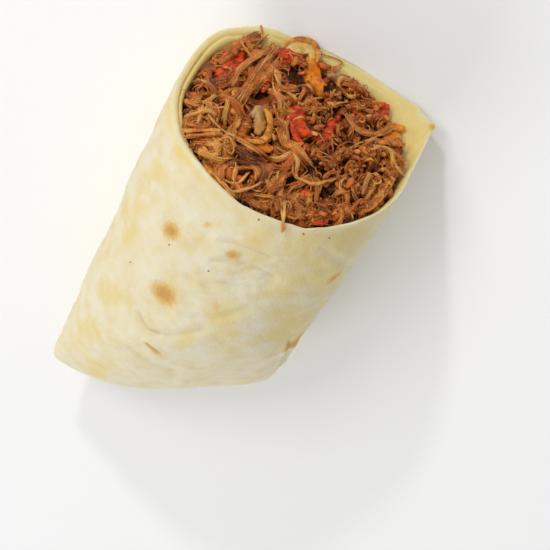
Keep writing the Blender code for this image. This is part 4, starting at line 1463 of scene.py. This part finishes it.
def make_shreds():
    """Shreds in layers, tinted darker the deeper they lie as painted shade: dark ones deep down, brown ones
    on them, and lighter ones on top.
    """
    deep, bodies, low_fibres, high_fibres = Batch(), Batch(), Batch(), Batch()
    # Each layer's batch, its fibres and how many on each body, how many bodies, seed, lowest
    # and highest, lengths, lean, bend, widths, tint and its spread
    # The lower a layer lies, the darker its tint: painted shade
    layers = (
        (deep, None, 0, 130, 3, -2.9, -1.4, (8, 16), 0.8, 0.5, (1.0, 2.0), 0.22, 0.1),
        (bodies, low_fibres, 5, 215, 4, -1.4, 0.4, (5, 13), 0.7, 0.45, (0.6, 1.4), 0.4, 0.15),
        (bodies, high_fibres, 6, 205, 5, 0.2, 1.7, (4, 11), 0.8, 0.5, (0.4, 1.0), 0.53, 0.16),
    )
    for batch, fibres, each, count, seed, low, high, length, lean, bend, widths, tint, spread in layers:
        px, pv, lift, draw = shred_spines(count, seed, low, high, length, lean, bend)
        spine = on_heap(px, pv, lift)
        count = len(spine)
        place = px[:, BODY_STEPS // 2], pv[:, BODY_STEPS // 2]
        wide = draw.uniform(*widths, count) * (1 - 0.35 * fineness(*place))
        thick = wide * draw.uniform(0.55, 0.9, count)
        tints = np.minimum(draw.normal(tint, spread, count) + heap_tone_and_shade(*place), 0.74)
        rich = np.clip(draw.normal(0.12, 0.33, count), 0, 0.85)
        batch.add(shred_bodies(spine, wide, thick, draw), spine, BODY_SIDES, tints, rich, 3.4)
        if fibres is None:
            continue
        lines = fibre_spines(thinned(spine), wide, thick, each, draw)
        shades = np.repeat(tints, each) + draw.normal(0.09, 0.13, len(lines))
        radius = draw.uniform(0.1, 0.22, len(lines))
        richer = np.repeat(rich, each) + draw.normal(0.05, 0.15, len(lines))
        fibres.add(thread_shape(lines, radius, draw), lines, FIBRE_SIDES, shades, richer)
    deep.make("meat_deep_shreds")
    bodies.make("meat_shreds")
    low_fibres.make("meat_fibres_low")
    high_fibres.make("meat_fibres_high")


LUMP_ROUGHNESS = 0.3


def lump_shape(centre, ahead, length, wide, thick, seed):
    """Rough lumps: short fat tubes, uneven at two sizes."""
    f = np.linspace(-1, 1, LUMP_STEPS)
    ends = np.sin(f * np.pi / 2 * 0.96)
    spine = centre[:, None] + ahead[:, None] * (ends[:, None] * length[:, None, None] / 2)
    profile = np.maximum(1 - ends**2, 0.02) ** 0.5
    ribs = np.ones((len(centre), LUMP_STEPS, LUMP_SIDES))
    points, quads, triangles = tubes(spine, wide[:, None] * profile, thick[:, None] * profile, ribs)
    each = LUMP_STEPS * LUMP_SIDES
    middle = np.concatenate([np.repeat(centre, each, 0), np.repeat(centre, 2, 0)])
    scale = np.concatenate([np.repeat(wide, each), np.repeat(wide, 2)])
    away = unit(points - middle)
    relief = LUMP_ROUGHNESS * (grain(points, 1.3, seed) + 0.45 * grain(points, 0.62, seed + 1))
    return (points + away * (relief * np.minimum(scale, 1.4))[:, None], quads, triangles), spine


def make_lumps(count=850, edge_count=260, seed=17):
    """Cut ends and crumbs of meat between the shreds and along the tortilla."""
    draw = np.random.default_rng(seed)
    x, v = spread_and_edge_places(count, edge_count, draw)
    kept = ~in_gap(x, v, 0.9) & ~on_vegetable(x, v, 0.25)
    x, v = x[kept], v[kept]
    count = len(x)
    wide = (0.3 + 0.85 * draw.uniform(0, 1, count) ** 1.9) * (1.0 - 0.15 * fineness(x, v))
    length = wide * draw.uniform(2, 4.5, count)
    x, v = held_inside(x, v, 0.98 - length / 2 / HEAP_HALF_HEIGHT)
    far = far_out(x, v)
    centre = on_heap(x, v, draw.uniform(-1.2, 1.2, count) + 0.6 * fineness(x, v) + 1.0 * far**3)
    way = draw.uniform(0, 2 * np.pi, count)
    ahead = unit(along_cut(way) + CUT_NORMAL * draw.uniform(-0.9, 0.9, count)[:, None])
    shape, spine = lump_shape(centre, ahead, length, wide, wide * 0.8, 23)
    batch = Batch()
    tints = np.minimum(draw.normal(0.44, 0.19, count) + heap_tone_and_shade(x, v), 0.78)
    rich = np.clip(draw.normal(0.12, 0.34, count) + 0.2 * far**4, 0, 0.9)
    batch.add(shape, spine, LUMP_SIDES, tints, rich, 1.5)
    batch.make("meat_lumps")


def cluster_parts(name_seed, pixel, radius, out, tint, rich, lumps=9, arcs=16):
    """One lump that shows: small lumps in a spiral, and short fibres that curl round it."""
    draw = np.random.default_rng(name_seed)
    cx, cv = seen_place(pixel, out)
    i = np.arange(lumps) + 0.4
    way = i * CLUSTER_TURN + draw.uniform(0, 6)
    far = radius * 0.8 * np.sqrt(i / lumps)
    x, v = held_inside(cx + far * np.cos(way), cv + far * np.sin(way), 0.95)
    rise = out + 0.35 * radius * (1 - (far / radius) ** 2) - 0.5
    centre = on_heap(x, v, rise)
    turn = way + np.pi / 2 + draw.normal(0, 0.4, lumps)
    wide = radius * draw.uniform(0.2, 0.34, lumps)
    length = wide * draw.uniform(2, 3.4, lumps)
    shape, spine = lump_shape(centre, unit(along_cut(turn)), length, wide, wide * 0.8, name_seed)
    tints = np.minimum(draw.normal(tint, 0.1, lumps), 0.7)
    solid = shape, spine, LUMP_SIDES, tints, draw.normal(rich, 0.2, lumps), 1.5
    each = arcs, 1
    start = draw.uniform(0, 2 * np.pi, each)
    sweep = draw.uniform(0.5, 1.7, each) * np.linspace(0, 1, FIBRE_STEPS)
    far = radius * draw.uniform(0.3, 1.05, each) * (1 + draw.uniform(-0.7, 0.7, each) * sweep)
    far = np.clip(far, -1.15 * radius, 1.15 * radius)
    x = cx + far * np.cos(start + sweep) + draw.normal(0, 0.3 * radius, each)
    v = cv + far * np.sin(start + sweep) + draw.normal(0, 0.3 * radius, each)
    x, v = held_inside(x, v, 0.99)
    rise = out + 0.5 * radius * (1 - np.clip(far / radius, 0, 1.2) ** 2) + draw.uniform(-0.3, 0.4, each)
    lines = on_heap(x, v, rise)
    thin = thread_shape(lines, draw.uniform(0.12, 0.26, arcs), draw)
    shades, richer = draw.normal(tint + 0.06, 0.12, arcs), draw.normal(rich + 0.1, 0.25, arcs)
    fine = thin, lines, FIBRE_SIDES, shades, richer
    return solid, fine


def make_seen_lumps():
    """The lumps that show in the cut."""
    solids, fines = Batch(), Batch()
    for seed, values in enumerate(LUMPS_SEEN.values()):
        solid, fine = cluster_parts(seed + 400, *values)
        solids.add(*solid)
        fines.add(*fine)
    solids.make("meat_lumps_on_top")
    fines.make("meat_curls_on_top")


def make_ribbons():
    """Strips of pepper and onion skin, each along its line."""
    for seed, (name, (finish, pixels, width, out)) in enumerate(RIBBONS_SEEN.items()):
        slot = {"stained_skin": "orange_pepper", "pale_onion": "onion"}.get(finish, finish)
        draw = np.random.default_rng(seed + 600)
        spine = seen_spine(pixels, out, RIBBON_STEPS)[None]
        f = np.linspace(-1, 1, RIBBON_STEPS)
        profile = np.maximum(1 - np.abs(f) ** draw.uniform(2.5, 6), 0.04) ** 0.5
        ragged = 1 + 0.28 * layered_grain(np.stack([f * 8 + seed, f * 0], -1), 2.2, seed, 3)
        half = (width / 2 * profile * ragged)[None]
        ribs = np.ones((1, RIBBON_STEPS, RIBBON_SIDES))
        points, quads, triangles = tubes(spine, half, np.minimum(half * 0.5, 0.45), ribs)
        middle = np.concatenate([np.repeat(spine[0], RIBBON_SIDES, 0), spine[0, [0, -1]]])
        relief = 0.1 * layered_grain(points, 1.4, seed + 7, 2) + 0.04 * draw.uniform(-1, 1)
        points = points + unit(points - middle) * relief[:, None]
        edge = (1.0 if slot == "onion" else 0.35) + 0.4 * grain(points, 1.5, seed)
        label = f"{slot}_{name.replace(' ', '_')}"
        make_piece(label, (points, quads, triangles), SKINS[finish], slot, "filling", edge=edge)


def make_threads(count=560, edge_count=150, seed=8):
    """Loose threads, some straight and some in hooks, over the heap."""
    draw = np.random.default_rng(seed)
    x, v = spread_and_edge_places(count, edge_count, draw)
    count = len(x)
    turn = clump_way(x, v) + draw.normal(0, 1.0, count)
    fine = fineness(x, v)
    length = draw.uniform(2.5, 9, count) * (1 - 0.35 * fine)
    curl = draw.normal(0, 0.8, count) * (1 + 0.9 * fine)
    out = draw.uniform(-0.4, 2.0, count)
    arch = draw.uniform(-0.3, 1.2, count)
    sag = draw.uniform(-1.2, 1.6, count)
    px, pv, lift = bent_paths(x, v, turn, length, curl, out, arch, sag, FIBRE_STEPS, draw)
    px, pv = held_inside(px, pv, 1.0)
    over = on_vegetable(px, pv, 0.1).any(1) & (draw.uniform(0, 1, count) > 0.3)
    kept = ~over & ~in_gap(px, pv, 0.2).any(1)
    spine = on_heap(px, pv, lift)[kept]
    count = len(spine)
    tints = draw.normal(0.66, 0.2, count) + heap_tone_and_shade(x[kept], v[kept])
    batch = Batch()
    shape = thread_shape(spine, draw.uniform(0.09, 0.24, count), draw)
    batch.add(shape, spine, FIBRE_SIDES, tints, np.clip(draw.normal(0.35, 0.35, count), 0, 1))
    batch.make("meat_threads")


def pepper_places():
    """The red pieces and ribbons that meat lies across: place, way across, height and length."""
    places = []
    for name, (x, v, turn, out, _, size) in VEGETABLES.items():
        if "red" in name:
            places.append((x, v, math.radians(turn + 90), out + 1.5, size[0]))
    for finish, pixels, width, out in RIBBONS_SEEN.values():
        if "red" in finish and width > WIDE_RIBBON:
            ends = np.array([pixels[0], pixels[-1]], float)
            (x0, x1), (v0, v1) = seen_place(ends, np.full(2, out))
            way = math.atan2(v1 - v0, x1 - x0) + np.pi / 2
            length = math.hypot(x1 - x0, v1 - v0)
            places.append(((x0 + x1) / 2, (v0 + v1) / 2, way, out + 0.7, length))
    return np.array(places)


def make_crossing_threads(each=2, seed=61):
    """Threads of meat that lie across the pieces of pepper."""
    draw = np.random.default_rng(seed)
    x, v, way, out, long = np.repeat(pepper_places(), each, 0).T
    count = len(x)
    along = draw.uniform(-0.45, 0.45, count) * long
    x = x + along * np.sin(way)
    v = v - along * np.cos(way)
    turn = way + draw.normal(0, 0.5, count)
    length = draw.uniform(3.0, 6.5, count)
    curl = draw.normal(0, 0.7, count)
    out = out + draw.uniform(-0.7, 0.1, count)
    arch = draw.uniform(0.1, 0.6, count)
    sag = draw.uniform(0.6, 1.8, count)
    px, pv, lift = bent_paths(x, v, turn, length, curl, out, arch, sag, FIBRE_STEPS, draw)
    px, pv = held_inside(px, pv, 0.98)
    spine = on_heap(px, pv, lift)
    batch = Batch()
    shape = thread_shape(spine, draw.uniform(0.1, 0.26, count), draw)
    batch.add(shape, spine, FIBRE_SIDES, draw.normal(0.68, 0.16, count), draw.uniform(0, 0.6, count))
    batch.make("meat_crossing_threads")


def draped_spine(pixels, out, steps):
    """A line out of the heap that bends over the upper rim and lies on the roll behind it."""
    line = smooth_line(pixels, steps)
    inside = on_heap(*seen_place(line, np.full(steps, out)), np.full(steps, out))
    sight = sight_lines(line)
    reach = (HEIGHT[0] + 0.7 - EYE[2]) / sight[:, 2]
    behind = EYE + sight * reach[:, None]
    return np.where(inside[:, 2:] > HEIGHT[0] + 0.4, behind, inside)


def smooth_line(pixels, steps):
    """Evenly spaced places on a smooth line through places in the photograph."""
    pixels = np.array(pixels, float)
    way = np.concatenate([[0], np.cumsum(np.linalg.norm(np.diff(pixels, axis=0), axis=1))])
    fine = np.linspace(0, way[-1], steps)
    return np.stack([spline(fine, way, pixels[:, 0]), spline(fine, way, pixels[:, 1])], -1)


def seen_spine(pixels, out, steps):
    """A smooth line through places in the photograph, so far out of the heap."""
    line = smooth_line(pixels, steps)
    f = np.linspace(-1, 1, steps)
    lift = out + 0.5 * (1 - f**2) - 0.5
    return on_heap(*seen_place(line, lift), lift)


def make_seen_strands():
    """The strands that stand out in the cut, each in its place."""
    draw = np.random.default_rng(29)
    bodies, fibres = Batch(), Batch()
    for kind, pixels, width, out, tint, rich in STRANDS_SEEN.values():
        spine = seen_spine(pixels, out, BODY_STEPS)[None]
        if kind == "draped":
            spine = draped_spine(pixels, out, BODY_STEPS)[None]
        if kind == "upright":
            f = np.linspace(0, 1, BODY_STEPS)[:, None]
            low, high = 0.6, 2.0
            start = on_heap(*seen_place(pixels[0], low), low)
            end = on_heap(*seen_place(pixels[-1], high), high)
            spine = (start + (end - start) * f + CUT_NORMAL * np.sin(f * 3) * 0.5)[None]
        half = np.array([width / 2])
        tints, riches = np.array([tint]), np.array([rich])
        thin = thinned(spine)
        if kind == "bundle":
            flat = half * 0.62
            shape = shred_bodies(spine, half, flat, draw, (3.0, 7.0))
            bodies.add(shape, spine, BODY_SIDES, tints, riches, 3.4)
            lines = fibre_spines(thin, half, flat, 11, draw, 0.8)
            radius = draw.uniform(0.12, 0.24, len(lines))
        else:
            lines = np.concatenate([thin, fibre_spines(thin, half * 0.7, half * 0.5, 2, draw, 0.5)])
            radius = np.array([width / 2, width / 5, width / 5])
        shades = tints + draw.normal(0.03, 0.08, len(lines))
        richer = np.full(len(lines), rich)
        fibres.add(thread_shape(lines, radius, draw), lines, FIBRE_SIDES, shades, richer)
    bodies.make("meat_bundles_on_top")
    fibres.make("meat_threads_on_top")


def make_scraps(count=95, seed=37):
    """Small bits of red and orange pepper between the shreds."""
    draw = np.random.default_rng(seed)
    x, v = spread_places(count, draw)
    kept = ~on_vegetable(x, v, 0.2) & ~in_gap(x, v, 0.3)
    x, v = x[kept], v[kept]
    count = len(x)
    centre = on_heap(x, v, draw.uniform(-0.2, 1.3, count))
    way = draw.uniform(0, 2 * np.pi, count)
    ahead = unit(along_cut(way))
    wide = draw.uniform(0.25, 0.75, count)
    split = count * 3 // 5
    for slot, part in (("red_pepper", slice(0, split)), ("orange_pepper", slice(split, count))):
        length = wide[part] * draw.uniform(1.6, 3.6, len(wide[part]))
        shape, _ = lump_shape(centre[part], ahead[part], length, wide[part], wide[part] * 0.6, 53)
        edge = grain(shape[0], 2.0, 5) * 0.5
        make_piece(f"{slot}_scraps", shape, SKINS[slot], slot, "filling", edge=edge)


# Pepper and onion


def slab_shape(x, v, turn, out, narrow, size, seed, blunt):
    """A cooked piece of a curved wall: a flat rounded section carried along a bent line.

    The section is |a| ** 5 + |b| ** 2.9 = 1, cupped by its width squared.
    """
    draw = np.random.default_rng(seed)
    t = np.sin(np.linspace(-1, 1, SLAB_STEPS) * np.pi / 2 * 0.985)
    a = np.arange(SLAB_SIDES) * 2 * np.pi / SLAB_SIDES
    half_long, half_wide, half_deep = (s / 2 for s in size)
    blunt = draw.uniform(*blunt)
    end = np.maximum(1 - np.abs(t) ** blunt, 0) ** 0.5
    steps = [np.stack([t * half_long, t * 0 + seed + 9.0 * k], -1) for k in range(2)]
    edge_left, edge_right = (1 + 0.2 * layered_grain(step, 2.6, seed + 1, 3) for step in steps)
    width = half_wide * end * (1 - narrow * t)
    c, d = np.cos(a), np.sin(a)
    aside = np.sign(c) * np.abs(c) ** 0.4
    depth = np.sign(d) * np.abs(d) ** 0.7
    lean = np.where(c[None] > 0, edge_right[:, None], edge_left[:, None])
    across = width[:, None] * aside[None] * lean
    cup = -0.35 * half_deep * (across / half_wide) ** 2
    up = half_deep * 0.5 * np.maximum(end, 0.25)[:, None] * depth[None] + cup
    run = (t * half_long)[:, None] + 0 * across
    up = up + 0.5 * layered_grain(np.stack([across, run], -1), 3.0, seed)
    waves = np.sin(draw.uniform(3, 5) * t + draw.uniform(0, 6))
    bend = 0.22 * half_wide * (t**2 - 0.4) + 0.12 * half_wide * waves
    lift = out + 0.5 * np.sin(2.2 * t + v) - 0.3
    way = math.radians(turn)
    off = across + bend[:, None]
    px = x + run * math.cos(way) - off * math.sin(way)
    pv = v + run * math.sin(way) + off * math.cos(way)
    height = float(heap_height(x, v)) + up + lift[:, None]
    points = off_cut(px, pv, height)
    normals = grid_normals(points)
    wrinkle = 0.14 * layered_grain(points, 1.9, seed + 3, 2) + 0.06 * grain(points, 0.6, seed + 5)
    points = points + normals * wrinkle[..., None]
    edge = np.maximum(np.abs(aside)[None] ** 6, np.abs(t)[:, None] ** 12)
    edge = np.concatenate([edge.ravel(), [1.0, 1.0]])
    return capped_grid(points, [points[0].mean(0), points[-1].mean(0)]), edge


def make_vegetables():
    """Each piece of pepper and onion in its own place."""
    for seed, (name, (x, v, turn, out, narrow, size)) in enumerate(VEGETABLES.items()):
        slot = next(s for s in ("red_pepper", "orange_pepper", "onion") if name.startswith(s))
        blunt = (2.4, 3.0) if slot == "onion" else (4, 11)
        shape, edge = slab_shape(x, v, turn, out, narrow, size, seed + 50, blunt)
        finish = "pale_onion" if name == "onion_over_the_rim" else slot
        make_piece(f"cooked_{name}", shape, SKINS[finish], slot, name, edge=edge)


# Floor, light and camera


def make_floor():
    """A plain pale floor under the half."""
    mesh = bpy.data.meshes.new("floor")
    side = FLOOR_HALF_SIDE
    corners = [(-side, -side, 0), (side, -side, 0), (side, side, 0), (-side, side, 0)]
    mesh.from_pydata(corners, [], [(0, 1, 2, 3)])
    made, _, _ = new_material(
        "pale_floor", Base_Color=(0.97, 0.97, 0.97, 1.0), Roughness=0.9, Specular_IOR_Level=0.1
    )
    mesh.materials.append(made)
    floor = bpy.data.objects.new("floor", mesh)
    bpy.context.scene.collection.objects.link(floor)


def make_light(name, direction, distance, size, power):
    """A soft square light that points at the half."""
    data = bpy.data.lights.new(name, "AREA")
    data.energy = power
    data.size = size
    light = bpy.data.objects.new(name, data)
    place = Vector(unit(np.array(direction)) * distance)
    turned = place.to_track_quat("Z", "Y").to_matrix().to_4x4()
    light.matrix_world = Matrix.Translation(place) @ turned
    bpy.context.scene.collection.objects.link(light)


def make_lights():
    """A key light from the picture's upper left, a fill, a small one for glints, and a sky."""
    for name, ((back, up, right), *settings) in LIGHTS.items():
        make_light(name, VIEW_BACK * back + VIEW_UP * up + VIEW_RIGHT * right, *settings)
    world = bpy.data.worlds.new("white_sky")
    world.use_nodes = True
    sky = world.node_tree.nodes["Background"]
    sky.inputs["Color"].default_value = (1.0, 1.0, 1.0, 1.0)
    sky.inputs["Strength"].default_value = SKY_STRENGTH
    bpy.context.scene.world = world


def make_camera():
    """The photograph's view: from above the cut, and turned."""
    data = bpy.data.cameras.new("camera")
    data.sensor_width = SENSOR
    data.lens = SENSOR * PHOTO_SCALE * DISTANCE / PHOTO_SIDE
    camera = bpy.data.objects.new("camera", data)
    turned = Matrix([list(VIEW_RIGHT), list(VIEW_UP), list(VIEW_BACK)]).transposed().to_4x4()
    camera.matrix_world = Matrix.Translation(Vector(EYE * MM)) @ turned
    bpy.context.scene.collection.objects.link(camera)
    bpy.context.scene.camera = camera
    bpy.context.scene.view_settings.view_transform = "Standard"


make_camera()
make_floor()
make_lights()
make_tortilla()
make_core()
make_shreds()
make_lumps()
make_seen_lumps()
make_threads()
make_crossing_threads()
make_seen_strands()
make_scraps()
make_ribbons()
make_vegetables()
